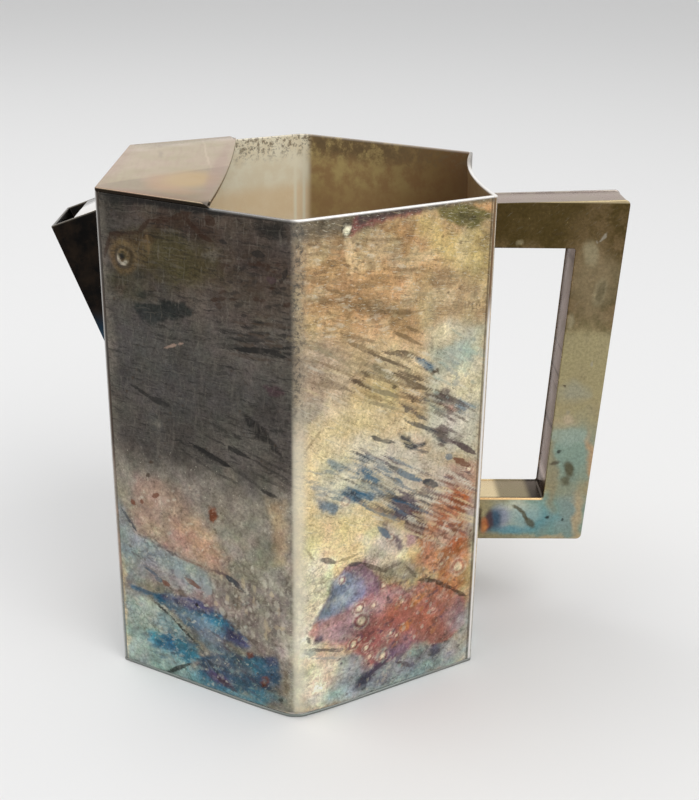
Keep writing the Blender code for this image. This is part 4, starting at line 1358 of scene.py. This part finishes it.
def plain_tarnish(name, seed, corners=0.0):
    """Tarnish of a face that isn't singled out: dark above, grey and blue below, streaked and specked.

    corners is how strong the painted silver highlight is along the wall's corners.
    """
    plate = Finish(name)
    shifted = plate.vector("ADD", plate.place, (seed * 97.0, seed * 53.0, seed * 31.0))
    cloud = plate.noise(shifted, 30.0, 4.0, 0.6)
    mottle = plate.noise(shifted, 6.0, 5.0, 0.65)
    grain = plate.noise(shifted, 1.1, 4.0, 0.7)
    colour_here = plate.mix(cloud.rises(0.40, 0.65), tint("gunmetal"), tint("brown"))
    lower = plate.mix(cloud.rises(0.42, 0.58), tint("taupe"), tint("salmon"))
    lower = plate.mix((plate.z + mottle * 40.0).rises(64, 40) * 0.8, lower, tint("fog"))
    colour_here = plate.mix((plate.z + cloud * 60.0).rises(125, 100), colour_here, lower)
    squeezed = plate.turned(shifted, (0, 0), (14.0, 14.0), 0)
    drag = plate.noise(plate.vector("MULTIPLY", squeezed, (1, 1, 10.0)), 1.0, 2.5, 0.5)
    colour_here = plate.mix(drag.rises(0.56, 0.66) * 0.5, colour_here, tint("umber"))
    colour_here = plate.mix(mottle.rises(0.58, 0.72) * 0.4, colour_here, tint("umber"))
    colour_here = plate.mix(grain.rises(0.62, 0.74) * 0.25, colour_here, tint("stone"))
    away = plate.node("ShaderNodeMath", {"operation": "ABSOLUTE"}, {0: plate.y})
    out = plate.node("ShaderNodeMath", {"operation": "ABSOLUTE"}, {0: plate.x})
    # Painted highlight: silver along the wall's vertical corners, where the bend catches the light.
    corner_highlight = away.rises(36.5, 37.1) * out.rises(APOTHEM * MM - 0.7, APOTHEM * MM - 0.3)
    colour_here = plate.mix(corner_highlight * corners, colour_here, tint("silver"))
    return plate.finish(colour_here, mottle.rises(0.3, 0.7, 0.26, 0.40), mottle * 0.05 + grain * 0.02)


def inside_tarnish_and_highlights():
    """Inside of the body: cream gold towards the spout, bronze towards the handle, specked along the rim,
    with two painted highlight lines down the inside of the fold.
    """
    plate = Finish("inside_tarnish_and_highlights")
    mottle = plate.noise(plate.place, 6.0, 5.0, 0.65)
    grain = plate.noise(plate.place, 1.6, 4.0, 0.75)
    warm = plate.mix(mottle.rises(0.35, 0.65), tint("ivory"), tint("shell"))
    warm = plate.mix(plate.z.rises(161, 154) * 0.5, warm, tint("apricot"))
    brown = plate.mix(mottle.rises(0.35, 0.65), tint("gold"), tint("bronze"))
    brown = plate.mix(plate.z.rises(163, 156) * 0.6, brown, tint("bronze"))
    brown = plate.mix(plate.x.rises(14, 60) * 0.9, brown, tint("cocoa"))
    base = plate.mix(plate.x.rises(1, 4), warm, brown)
    base = plate.mix(plate.z.rises(146, 132) * 0.8, base, tint("bright"))
    specks = grain.rises(0.48, 0.60) * plate.z.rises(166, 175)
    base = plate.mix(specks * 0.8, base, tint("ochre"))
    soot = mottle.rises(0.36, 0.56) * plate.z.rises(167, 174) * plate.x.rises(1, 5) * plate.x.rises(60, 30)
    base = plate.mix(soot * 0.85, base, tint("ochre"))
    # Painted highlights: two shell-coloured lines down the inside of the fold, fading out towards the rim.
    for middle in (-3.4, 0.2):
        line = plate.x.rises(middle - 1.1, middle) * plate.x.rises(middle + 1.1, middle)
        base = plate.mix(line * plate.z.rises(176, 168) * 0.95, base, tint("shell"))
    # Ends with the painted highlight along the rim.
    return plate.finish(plate.with_rim_highlight(base), mottle.rises(0.3, 0.7, 0.30, 0.42), mottle * 0.04, 0.0)


def guard_plate():
    """Bright plate of the ice guard, with a painted warm reflection in gold on its corner towards the front,
    mauve along its edges, and painted shade down its cut faces.
    """
    plate = Finish("guard_plate")
    plate.flat(plate.x, plate.y)
    cloud = plate.noise(plate.place, 16.0, 3.0, 0.55)
    drawn = plate.streaks(1.4, 16.0, 4, 0.45, 0.65)
    base = plate.mix(cloud.rises(0.35, 0.65), tint("putty"), tint("sky"))
    base = plate.mix(drawn * 0.22, base, tint("mauve"))
    # Painted reflection: a taupe triangle over the corner towards the front, below a slanting line.
    corner = (plate.x * 0.654 - plate.y * 0.756 + cloud * 3.0).rises(-15.6, -13.8)
    base = plate.mix(corner * 0.55, base, tint("taupe"))
    # The first three stains, rose and gold, are a painted warm reflection on that corner.
    stains = (
        Stain("rose", -44, -28, 6, 11, 12, 0.5, 0.6),
        Stain("gold", -36, -24, 8.5, 13, 0, 0.5, 1.0),
        Stain("rose", -40, -41, 9, 4.5, -30, 0.6, 0.4),
        Stain("mauve", -28, -10, 2.4, 46, 0, 0.6, 0.6),
        Stain("mauve", -65, 5, 3.4, 42, 0, 0.7, 0.5),
        Stain("mauve", -48, -46, 18, 2.6, -30, 0.7, 0.5),
        Stain("taupe", -51, 19, 0.8, 6, 10, 0.6, 0.5),
        Stain("bright", -34.5, 21, 0.4, 25, 8, 0.7, 0.3),
    )
    base = plate.stained(base, plate.close, stains)
    base = plate.vector("MULTIPLY", base, (0.95, 0.84, 0.68))
    # Painted shade: below the top face, the cut edges and the underside are darkened almost to black.
    base = plate.scaled(base, plate.z.rises(GUARD_TOP * MM - 0.5, GUARD_TOP * MM - 0.1, 0.06, 0.76))
    return plate.finish(base, cloud.rises(0.3, 0.7, 0.16, 0.24), cloud * 0.04, glance=(1.0, 0.92, 0.84, 1.0))


def spout_plate():
    """Almost black plate of the spout, brown inside, with a painted blue highlight at its foot."""
    plate = Finish("spout_plate")
    mottle = plate.noise(plate.place, 7.0, 5.0, 0.65)
    colour_here = plate.scaled(plate.mix(mottle.rises(0.35, 0.7), tint("soot"), tint("umber")), 0.3)
    # Painted highlight: navy blue towards the foot of the spout.
    colour_here = plate.mix(plate.z.rises(132, 116) * 0.6, colour_here, tint("navy"))
    top = plate.z + plate.x * -0.37
    rim_line = top.rises(191.4, 192.0)
    colour_here = plate.mix(rim_line * 0.5, colour_here, tint("taupe"))
    return plate.finish(colour_here, mottle.rises(0.3, 0.7, 0.22, 0.36), mottle * 0.04)


HANDLE_ZONES = (
    Stain("khaki", 106, 140, 9, 13, 0, 0.6, 0.6),
    Stain("honey", 103, 82, 9, 20, 0, 0.6, 0.2),
    Stain("sage", 104, 105, 14, 18, 0, 0.5, 0.7),
    Stain("fog", 101.5, 98, 4, 4, 0, 0.6, 0.35),
    Stain("rose", 100, 86.5, 3.4, 3, 20, 0.6, 0.3),
    Stain("sea", 103, 72, 10, 14, 0, 0.6, 0.75),
    Stain("sea", 97, 46, 20, 9, 0, 0.5, 0.9),
    Stain("fog", 104, 48, 5, 8, 0, 0.6, 0.5),
    Stain("khaki", 95, 66, 2.2, 24, 2, 0.7, 0.7),
    Stain("amber", 110, 68, 2.0, 12, 4, 0.6, 0.5),
    Stain("honey", 108, 47, 2.2, 9, 6, 0.7, 0.7),
    Stain("honey", 101, 38.4, 14, 1.4, 0, 0.7, 0.7),
    Stain("sky", 83, 46.5, 7, 5, -10, 0.5, 0.9),
    Stain("bark", 104, 146, 10, 18, -4, 0.5, 0.4),
    Stain("mint", 103, 80, 6, 3, -10, 0.6, 0.4),
    Stain("teal", 91, 45, 9, 4, 0, 0.6, 0.45),
)
HANDLE_MARKS = (
    Stain("khaki", 103.6, 151, 2.6, 4.6, 12, 0.5, 0.8),
    Stain("khaki", 98.3, 125.5, 1.3, 3.0, 0, 0.5, 0.8),
    Stain("khaki", 108, 137, 2.0, 5, -10, 0.4, 0.6),
    Stain("sepia", 108.3, 137, 1.3, 4, -10, 0.4, 0.6),
    Stain("stone", 107.5, 157, 0.5, 1.7, -35, 0.5, 0.7),
    Stain("stone", 105.6, 155.4, 0.4, 0.7, 20, 0.5, 0.5),
    Stain("khaki", 78, 154.6, 1.4, 1.0, 0, 0.5, 0.6),
    Stain("sand", 100.6, 87, 1.8, 2.2, 20, 0.5, 0.5),
    Stain("stone", 100, 90, 0.7, 0.9, 0, 0.5, 0.5),
    Stain("stone", 107.5, 109, 0.5, 1.2, 0, 0.5, 0.6),
    Stain("sepia", 102.5, 66.5, 2.0, 3.6, 15, 0.4, 0.85),
    Stain("sepia", 101.5, 61.5, 1.8, 2.0, 0, 0.5, 0.7),
    Stain("umber", 97, 69, 2.0, 0.9, 20, 0.5, 0.7),
    Stain("soot", 98.5, 74, 0.8, 0.8, 0, 0.4, 0.8),
    Stain("soot", 95.7, 46, 0.9, 0.7, 0, 0.4, 0.85),
    Stain("soot", 101.5, 45, 0.7, 0.4, 40, 0.4, 0.7),
    Stain("umber", 98, 100.5, 0.5, 0.5, 0, 0.4, 0.8),
    Stain("teal", 80, 40.4, 8, 1.8, 0, 0.6, 0.7),
    Stain("iris", 77.5, 46, 3.6, 4.6, 0, 0.6, 0.85),
    Stain("navy", 75.5, 45, 2.4, 4.4, 0, 0.6, 0.9),
    Stain("plum", 73.3, 44.4, 1.6, 4.6, 0, 0.5, 0.9),
    Stain("burnt", 71.4, 42.4, 1.5, 3.2, 0, 0.5, 0.85),
    Stain("amber", 71.4, 41.4, 0.8, 1.6, 0, 0.6, 0.7),
    Stain("umber", 69.4, 45.5, 1.0, 4.6, 0, 0.5, 0.9),
    Stain("sepia", 84.5, 49.6, 2.6, 0.7, -32, 0.4, 0.8),
    Stain("sepia", 86.8, 46.6, 2.6, 0.8, -62, 0.4, 0.8),
    Stain("sepia", 89.0, 43.4, 2.8, 1.5, -48, 0.4, 0.8),
)


def handle_plate(name, zones, marks):
    """Olive-brown plate of the handle that turns khaki and then sea green downwards."""
    plate = Finish(name)
    plate.face(plate.x, plate.z)
    mottle = plate.noise(plate.place, 5.0, 5.0, 0.65)
    grain = plate.noise(plate.place, 1.1, 4.0, 0.7)
    base = plate.mix(mottle.rises(0.3, 0.7), tint("sage"), tint("khaki"))
    upper = plate.mix(mottle.rises(0.4, 0.6), tint("bark"), tint("tobacco"))
    base = plate.mix((plate.z + mottle * 5.0).rises(121.6, 126.0), base, upper)
    base = plate.mix(plate.z.rises(148, 158) * plate.x.rises(104, 96, 0.55, 0.9), base, tint("tobacco"))
    base = plate.stained(base, plate.broad, zones)
    base = plate.stained(base, plate.close, marks)
    base = plate.scaled(base, grain.rises(0.25, 0.75, 0.85, 1.3))
    base = plate.mix(mottle.rises(0.60, 0.74) * 0.25, base, tint("umber"))
    base = plate.mix(grain.rises(0.64, 0.74) * plate.z.rises(110, 130, 0.1, 0.4), base, tint("gold"))
    lip = plate.z.rises(53.2, 53.6) * plate.z.rises(55.6, 55.0) * plate.x.rises(94, 92)
    base = plate.mix(lip, base, tint("apricot"))
    # Painted highlight: a cream line along the top edge of the cheek.
    top_edge_highlight = plate.z.rises(RIM * MM - 9.0, RIM * MM - 8.6) * plate.z.rises(RIM * MM + 3, RIM * MM + 1)
    base = plate.mix(top_edge_highlight * 0.5, base, tint("cream"))
    scratches = plate.streaks(5.0, 0.4, 40, 0.62, 0.70)
    base = plate.mix(scratches * plate.z.rises(118, 126) * 0.2, base, tint("stone"))
    return plate.finish(base, mottle.rises(0.3, 0.7, 0.26, 0.40), mottle * 0.05 + grain * 0.02)


def strip_plate():
    """Lighter, more worn plate of the handle's strips, banded down the leg and golden on the lower arm."""
    plate = Finish("strip_plate")
    mottle = plate.noise(plate.place, 6.0, 4.0, 0.6)
    grain = plate.noise(plate.place, 1.1, 4.0, 0.7)
    base = plate.mix(mottle.rises(0.35, 0.65), tint("ash"), tint("putty"))
    bands = plate.noise(plate.vector("MULTIPLY", plate.place, (0, 0, 0.16)), 1.0, 3.0, 0.6)
    leg = plate.z.rises(60, 66) * plate.z.rises(154, 152)
    base = plate.mix(leg * 0.75, base, tint("brown"))
    base = plate.mix(leg * bands.rises(0.54, 0.60) * 0.8, base, tint("soot"))
    base = plate.mix(leg * plate.z.rises(140, 150) * 0.6, base, tint("umber"))
    low = plate.z.rises(62, 58)
    base = plate.mix(plate.z.rises(162, 167) * 0.4, base, tint("taupe"))
    # Lower arm: cream by the wall turning khaki, and a painted shadow in soot colour in the corner against
    # the leg.
    floor = plate.mix(plate.x.rises(75, 78), tint("cream"), tint("khaki"))
    floor = plate.mix(plate.x.rises(87, 90) * 0.9, floor, tint("soot"))
    base = plate.mix(low * 0.95, base, floor)
    base = plate.mix(grain.rises(0.62, 0.74) * 0.25, base, tint("umber"))
    # A dark line on the strip along its joint with the front cheek, down the leg and the lower arm: partly
    # the seam, partly painted shadow of the gap.
    edge = (sizes().thin_sheet - HANDLE_HALF) * MM
    seam = plate.y.rises(edge + 0.9, edge + 0.5) * plate.z.rises(160, 156)
    base = plate.mix(seam * 0.85, base, tint("soot"))
    glance = (0.82, 0.74, 0.71, 1.0)
    return plate.finish(base, mottle.rises(0.3, 0.7, 0.22, 0.34), mottle * 0.04, glance=glance)


# Pieces

def folded_paths(outer_step, inner_step):
    """Outer and inner plan paths of the front wall, from the spout end to the handle end."""
    end = APOTHEM - sizes().sheet - sizes().seam
    paths = []
    for inset, step in ((0.0, outer_step), (sizes().sheet, inner_step)):
        fold = SIDE - inset / COS30
        left, right = (-end, end * SLOPE - fold), (end, end * SLOPE - fold)
        bend = arc(left, (0, -fold), right, sizes().fold_radius - inset)
        paths.append(spaced([left, *bend, right], step))
    return paths


def inside_faces(faces, outer, inner):
    """Marks the faces of a wall's slab that stand on its inner path."""
    around = len(outer) + len(inner)
    return np.append(np.arange(len(faces) - 2) % around >= len(outer), [False, False])


def made_finishes(*names):
    """Finishes that an earlier piece has made."""
    return [bpy.data.materials[name] for name in names]


def beaten(points):
    """Front wall pushed along its normals by slow waves, with a blister, and its foot worn up at the fold."""
    x, y, z = points.T
    lean = np.clip(x / (sizes().fold_radius * 0.5), -1, 1) * math.radians(30)
    along = x * MM / COS30
    up = z * MM
    wave = np.sin(along / 13.0 + 0.9) * np.sin(up / 29.0 + 0.4) + 0.5 * np.sin(along / 7.0 - up / 17.0)
    hold = np.clip((RIM - z) / 0.02, 0, 1) * np.clip((APOTHEM - np.abs(x)) / 0.012, 0, 1)
    push = sizes().ripple * wave * hold
    away = np.hypot(along - BLISTER_ALONG, up - BLISTER_UP)
    dome = np.exp(-((away / 2.2) ** 2))
    moat = np.exp(-(((away - 3.9) / 0.9) ** 2))
    push = push + sizes().blister * (dome - 0.45 * moat)
    near = np.clip(1 - np.abs(x) / sizes().worn_reach, 0, 1) ** 2
    lift = sizes().worn_lift * near * np.clip(1 - (z - BASE_TOP) / 0.012, 0, 1)
    return np.stack([x + push * np.sin(lean), y - push * np.cos(lean) + 0.5 * lift, z + lift], 1)


class PITCHER_OT_front_wall(bpy.types.Operator):
    """Folded front wall with its tarnish, its blister and its worn foot"""

    bl_idname = "pitcher.front_wall"
    bl_label = "Front wall"

    def execute(self, context):
        outer, inner = folded_paths(FRONT_STEP, INSIDE_STEP)
        points, faces = slab(np.vstack([outer, inner[::-1]]), BASE_TOP, RIM, sizes().edge, FRONT_LEVELS)
        side = inside_faces(faces, outer, inner)
        paint = tarnished(points[:, 0] * MM / COS30, points[:, 2] * MM, 0, True, 0.86)
        finishes = [painted_plate("wall_tarnish_and_highlights"), inside_tarnish_and_highlights()]
        piece("front_sheet", beaten(points), faces, finishes, ["front_wall"], side, paint)
        return {"FINISHED"}


class PITCHER_OT_back_wall(bpy.types.Operator):
    """Folded back wall, tarnished outside and bright to brown inside"""

    bl_idname = "pitcher.back_wall"
    bl_label = "Back wall"

    def execute(self, context):
        outer, inner = folded_paths(WALL_STEP, INSIDE_STEP)
        outline = np.vstack([outer, inner[::-1]]) * (-1, -1)
        points, faces = slab(outline, BASE_TOP, RIM, sizes().edge, WALL_LEVELS)
        paint = tarnished(points[:, 0] * MM / COS30, points[:, 2] * MM, 200)
        side = inside_faces(faces, outer, inner)
        finishes = made_finishes("wall_tarnish_and_highlights", "inside_tarnish_and_highlights")
        piece("back_sheet", points, faces, finishes, ["back_wall"], side, paint)
        return {"FINISHED"}


class PITCHER_OT_end_walls(bpy.types.Operator):
    """Handle wall with its pushed-in rim, and the finish of the pierced spout wall"""

    bl_idname = "pitcher.end_walls"
    bl_label = "End walls"

    def execute(self, context):
        radius = sizes().corner_radius
        inner_x = APOTHEM - sizes().sheet
        lap = SIDE - inner_x * SLOPE
        outer = spaced(np.vstack([plan_arc(2, radius), plan_arc(3, radius)]), WALL_STEP)
        inner = spaced([(inner_x, lap), (inner_x, -lap)], INSIDE_STEP)
        points, faces = slab(np.vstack([outer, inner]), BASE_TOP, RIM, sizes().edge, WALL_LEVELS)
        paint = tarnished(SIDE * MM / 2 - points[:, 1] * MM, points[:, 2] * MM, 100)
        points[:, 0] -= rim_bow(points[:, 1], points[:, 2])
        side = inside_faces(faces, outer, inner)
        finishes = made_finishes("wall_tarnish_and_highlights", "inside_tarnish_and_highlights")
        piece("handle_wall_sheet", points, faces, finishes, ["handle_wall"], side, paint)
        spout_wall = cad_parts["spout_wall"]
        # The pierced spout wall's finish: tarnish with a painted highlight along its corners.
        spout_wall.material_slots[0].material = plain_tarnish("spout_wall_tarnish", 3, 0.45)
        return {"FINISHED"}


class PITCHER_OT_base(bpy.types.Operator):
    """Base plate with a filed edge, worn back under the front fold"""

    bl_idname = "pitcher.base"
    bl_label = "Base"

    def execute(self, context):
        fold, corner = sizes().fold_radius, sizes().corner_radius
        corners = [plan_arc(index, fold if index % 3 == 1 else corner) for index in range(6)]
        outline = np.vstack(corners)
        outline = spaced(np.vstack([outline, outline[:1]]), 0.003)[:-1]
        near = np.clip(1 - np.abs(outline[:, 0]) / sizes().worn_reach, 0, 1) ** 2
        outline[:, 1] += sizes().worn_lift * near * (outline[:, 1] < 0)
        points, faces = slab(outline, 0, BASE_TOP, sizes().edge)
        finishes = [plain_tarnish("base_tarnish", 4), bpy.data.materials["inside_tarnish_and_highlights"]]
        top = np.arange(len(faces)) == len(faces) - 1
        piece("base_sheet", points, faces, finishes, ["base_plate"], top)
        return {"FINISHED"}


class PITCHER_OT_ice_guard(bpy.types.Operator):
    """Ice guard over the spout half of the mouth, with a curved free edge that is filed down at its ends"""

    bl_idname = "pitcher.ice_guard"
    bl_label = "Ice guard"

    def execute(self, context):
        radius = sizes().corner_radius
        end_x = GUARD_EDGE - sizes().guard_crown
        end_y = SIDE + end_x * SLOPE
        spread = np.linspace(-1, 1, 33)
        free_edge = np.stack([end_x + sizes().guard_crown * (1 - spread**2), end_y * spread], 1)
        outline = np.vstack([free_edge, plan_arc(5, radius), plan_arc(0, radius)])
        outline = spaced(np.vstack([outline, outline[:1]]), 0.001)[:-1]
        points, faces = slab(outline, RIM, GUARD_TOP, sizes().edge)
        x, y, z = points.T
        ramp = np.clip((x - end_x) / sizes().guard_ramp + 1, 0, 1) * (np.abs(y) > end_y - 0.004)
        points[:, 2] = RIM + (z - RIM) * (1 - 0.8 * ramp)
        piece("guard_sheet", points, faces, [guard_plate()], ["ice_guard"])
        return {"FINISHED"}


class PITCHER_OT_spout(bpy.types.Operator):
    """Folded spout trough and the roof between its cheeks"""

    bl_idname = "pitcher.spout"
    bl_label = "Spout"

    def execute(self, context):
        lip = (SPOUT_LIP, SPOUT_HEAD - sizes().spout_fall)
        side = np.array([(SPOUT_ROOT, SPOUT_HEAD), lip, (SPOUT_ROOT, SPOUT_FOOT)])
        near, far = (np.insert(side, 1, y, 1) for y in (-SPOUT_HALF, SPOUT_HALF))
        faces = [[0, 1, 2], [3, 5, 4], [1, 4, 5, 2]]
        points = np.vstack([near, far])
        trough = piece("trough_sheet", points, faces, [spout_plate()], ["spout_trough"])
        walls = trough.modifiers.new("sheet", "SOLIDIFY")
        walls.thickness = sizes().thin_sheet
        walls.offset = -1
        walls.use_even_offset = True
        edges = trough.modifiers.new("edges", "BEVEL")
        edges.width = sizes().edge * 0.8
        edges.segments = 3
        half = SPOUT_HALF - sizes().thin_sheet - sizes().seam
        fall = sizes().spout_fall / (SPOUT_ROOT - SPOUT_LIP)
        root, edge = SPOUT_ROOT, ROOF_EDGE
        roof = [(edge, -half), (root, -half), (root, half), (edge, half)]
        points, faces = slab(roof, 0, ROOF_SHEET, ROOF_ROUND)
        points[:, 2] += SPOUT_HEAD - sizes().thin_sheet - fall * (root - points[:, 0])
        piece("roof_sheet", points, faces, [bpy.data.materials["guard_plate"]], ["spout_roof"])
        return {"FINISHED"}


def handle_paths():
    """Outer and inner side paths of the handle, as (x, z), from the upper root to the lower one."""
    top = RIM - sizes().handle_drop
    under, seat = top - sizes().upper_arm, HANDLE_FOOT + sizes().lower_arm
    outer = [
        (0, top),
        (HANDLE_END - APOTHEM, HANDLE_PEAK),
        (sizes().reach_at_foot, HANDLE_FOOT),
        (0, HANDLE_FOOT),
    ]
    inner = [(0, under), (sizes().grip_at_top, under), (sizes().grip_at_foot, seat), (0, seat)]
    return [np.array(path) + (APOTHEM, 0) for path in (outer, inner)]


def moved_aside(path, distance):
    """Open path moved to its right, its corners kept sharp."""
    along = np.diff(path, axis=0)
    along /= np.linalg.norm(along, axis=1, keepdims=True)
    right = np.stack([along[:, 1], -along[:, 0]], 1)
    first, second = right[:-1], right[1:]
    corners = (first + second) / (1 + np.sum(first * second, 1, keepdims=True))
    return path + distance * np.vstack([right[:1], corners, right[-1:]])


def to_wall(path):
    """The path with both ends moved to the handle wall."""
    path = path.copy()
    for end in (0, -1):
        path[end, 0] = APOTHEM + 2 * sizes().seam - rim_bow(HANDLE_HALF, path[end, 1])
    return path


def bent(path, radius):
    """The path with its two corners rounded."""
    return np.vstack([path[:1], arc(*path[:3], radius), arc(*path[1:], radius), path[-1:]])


class PITCHER_OT_handle(bpy.types.Operator):
    """Box handle: two cheeks with worn edges and the two folded strips between them"""

    bl_idname = "pitcher.handle"
    bl_label = "Handle"

    def execute(self, context):
        outer, inner = handle_paths()
        radius = sizes().handle_corner
        outside = to_wall(bent(outer, radius))
        inside = to_wall(bent(inner, GRIP_BEND))
        root = np.linspace(inside[0, 1], outside[0, 1], 9)[1:-1]
        root = np.stack([APOTHEM + 2 * sizes().seam - rim_bow(HANDLE_HALF, root), root], 1)
        outline = np.vstack([outside, inside[::-1], root])[::-1]
        thick = sizes().thin_sheet
        front = handle_plate("cheek_tarnish", HANDLE_ZONES, HANDLE_MARKS)
        back = handle_plate("back_cheek_tarnish", HANDLE_ZONES[:5], ())
        finish = strip_plate()
        for name, far, finishes in (
            ("front_cheek", HANDLE_HALF, [front, front]),
            ("back_cheek", thick - HANDLE_HALF, [back, finish]),
        ):
            points, faces = slab(outline, far - thick, far, sizes().edge)
            sides = np.arange(len(faces)) < len(faces) - 2
            piece(name, lying(points), faces, finishes, ["handle_" + name], sides)
        half = HANDLE_HALF - thick + sizes().seam
        depths = (sizes().strip_inset, sizes().strip_inset + thick)
        for name, node, path, way, turn in (
            ("outer_strip", "handle_outer_strip", outer, 1, radius),
            ("inner_strip", "handle_inner_strip", inner, -1, GRIP_BEND),
        ):
            faces_of = [moved_aside(path, way * depth) for depth in depths]
            near, deep = (to_wall(bent(face, turn)) for face in faces_of)
            loop = np.vstack([near, deep[::-1]])
            points, faces = slab(loop[::-way], -half, half, sizes().edge * 0.5)
            piece(name, lying(points), faces, [finish], [node])
        return {"FINISHED"}


def floor_finish():
    """Matt pale floor."""
    finish = Finish("pale_floor")
    shade = (*bpy.context.scene.pitcher_studio.floor_shade, 1)
    return finish.finish(shade, 0.7, None, 0.0)


def studio_sky(level):
    """White sky, seen at full strength by the camera and in reflections, and lighting at a lower level."""
    world = bpy.data.worlds.new("studio")
    sky = Shading(world)
    kinds = ("Camera", "Glossy", "Transmission")
    camera, glossy, through = (sky.node("ShaderNodeLightPath", output=f"Is {kind} Ray") for kind in kinds)
    strength = level + (camera + glossy + through) * (1 - level)
    shader = sky.node("ShaderNodeBackground", {}, {"Color": (1, 1, 1, 1), "Strength": strength})
    sky.node("ShaderNodeOutputWorld", {}, {"Surface": shader})
    return world


def soft_lamp(name, place, size, power):
    """Square area lamp that faces the middle of the pitcher."""
    data = bpy.data.lights.new(name, "AREA")
    data.size = size
    data.energy = power
    lamp = bpy.data.objects.new(name, data)
    aim = np.array((0, 0, RIM / 2)) - place
    lamp.rotation_euler = (math.atan2(np.hypot(aim[0], aim[1]), -aim[2]), 0, math.atan2(-aim[0], aim[1]))
    lamp.location = place
    bpy.context.collection.objects.link(lamp)


def set_camera(studio):
    """Camera at the studio's place, turned by its yaw, pitch and roll."""
    yaw, pitch, roll = (math.radians(angle) for angle in (studio.yaw, studio.pitch, studio.roll))
    data = bpy.data.cameras.new("camera")
    data.sensor_fit = "VERTICAL"
    data.sensor_height = 36.0
    data.lens = studio.lens
    data.clip_start = 0.01
    camera = bpy.data.objects.new("camera", data)
    forward = np.array((math.sin(yaw) * math.cos(pitch), math.cos(yaw) * math.cos(pitch), -math.sin(pitch)))
    flat_right = np.array((math.cos(yaw), -math.sin(yaw), 0))
    flat_up = np.cross(flat_right, forward)
    right = math.cos(roll) * flat_right + math.sin(roll) * flat_up
    up = math.cos(roll) * flat_up - math.sin(roll) * flat_right
    matrix = np.eye(4)
    matrix[:3, :3] = np.stack([right, up, -forward], 1)
    matrix[:3, 3] = studio.place
    camera.matrix_world = matrix.T.tolist()
    bpy.context.collection.objects.link(camera)
    bpy.context.scene.camera = camera


class PITCHER_OT_stage(bpy.types.Operator):
    """Pale floor, soft light from all round, two large lamps and the camera"""

    bl_idname = "pitcher.stage"
    bl_label = "Stage"

    def execute(self, context):
        studio = context.scene.pitcher_studio
        mesh = bpy.data.meshes.new("floor")
        corners = np.array([(-1, -1, 0), (1, -1, 0), (1, 1, 0), (-1, 1, 0)]) * studio.floor_reach
        mesh.from_pydata(corners.tolist(), [], [[0, 1, 2, 3]])
        mesh.materials.append(floor_finish())
        floor = bpy.data.objects.new("floor", mesh)
        context.collection.objects.link(floor)
        context.scene.world = studio_sky(studio.sky_level)
        soft_lamp("key_lamp", np.array((0.9, -1.0, 1.6)), 1.4, studio.key_power)
        soft_lamp("top_lamp", np.array((-0.8, 0.3, 1.9)), 1.6, studio.top_power)
        set_camera(studio)
        context.scene.view_settings.view_transform = "Standard"
        return {"FINISHED"}


class PITCHER_PT_panel(bpy.types.Panel):
    """Lists the pieces of the pitcher in the sidebar"""

    bl_idname = "PITCHER_PT_panel"
    bl_label = "Water pitcher"
    bl_space_type = "VIEW_3D"
    bl_region_type = "UI"
    bl_category = "Pitcher"

    def draw(self, context):
        for operator in OPERATORS:
            self.layout.operator(operator.bl_idname)


OPERATORS = (
    PITCHER_OT_stage,
    PITCHER_OT_front_wall,
    PITCHER_OT_back_wall,
    PITCHER_OT_end_walls,
    PITCHER_OT_base,
    PITCHER_OT_ice_guard,
    PITCHER_OT_spout,
    PITCHER_OT_handle,
)
GROUPS = {"pitcher_sizes": PitcherSizes, "pitcher_colours": PlateColours, "pitcher_studio": StudioSettings}


def register():
    for made in (*GROUPS.values(), *OPERATORS, PITCHER_PT_panel):
        bpy.utils.register_class(made)
    for name, group in GROUPS.items():
        setattr(bpy.types.Scene, name, PointerProperty(type=group))


def unregister():
    for name in GROUPS:
        delattr(bpy.types.Scene, name)
    for made in (PITCHER_PT_panel, *OPERATORS[::-1], *GROUPS.values()):
        bpy.utils.unregister_class(made)


def main():
    register()
    for operator in OPERATORS:
        getattr(bpy.ops.pitcher, operator.bl_idname.split(".")[1])()


if __name__ == "__main__":
    main()
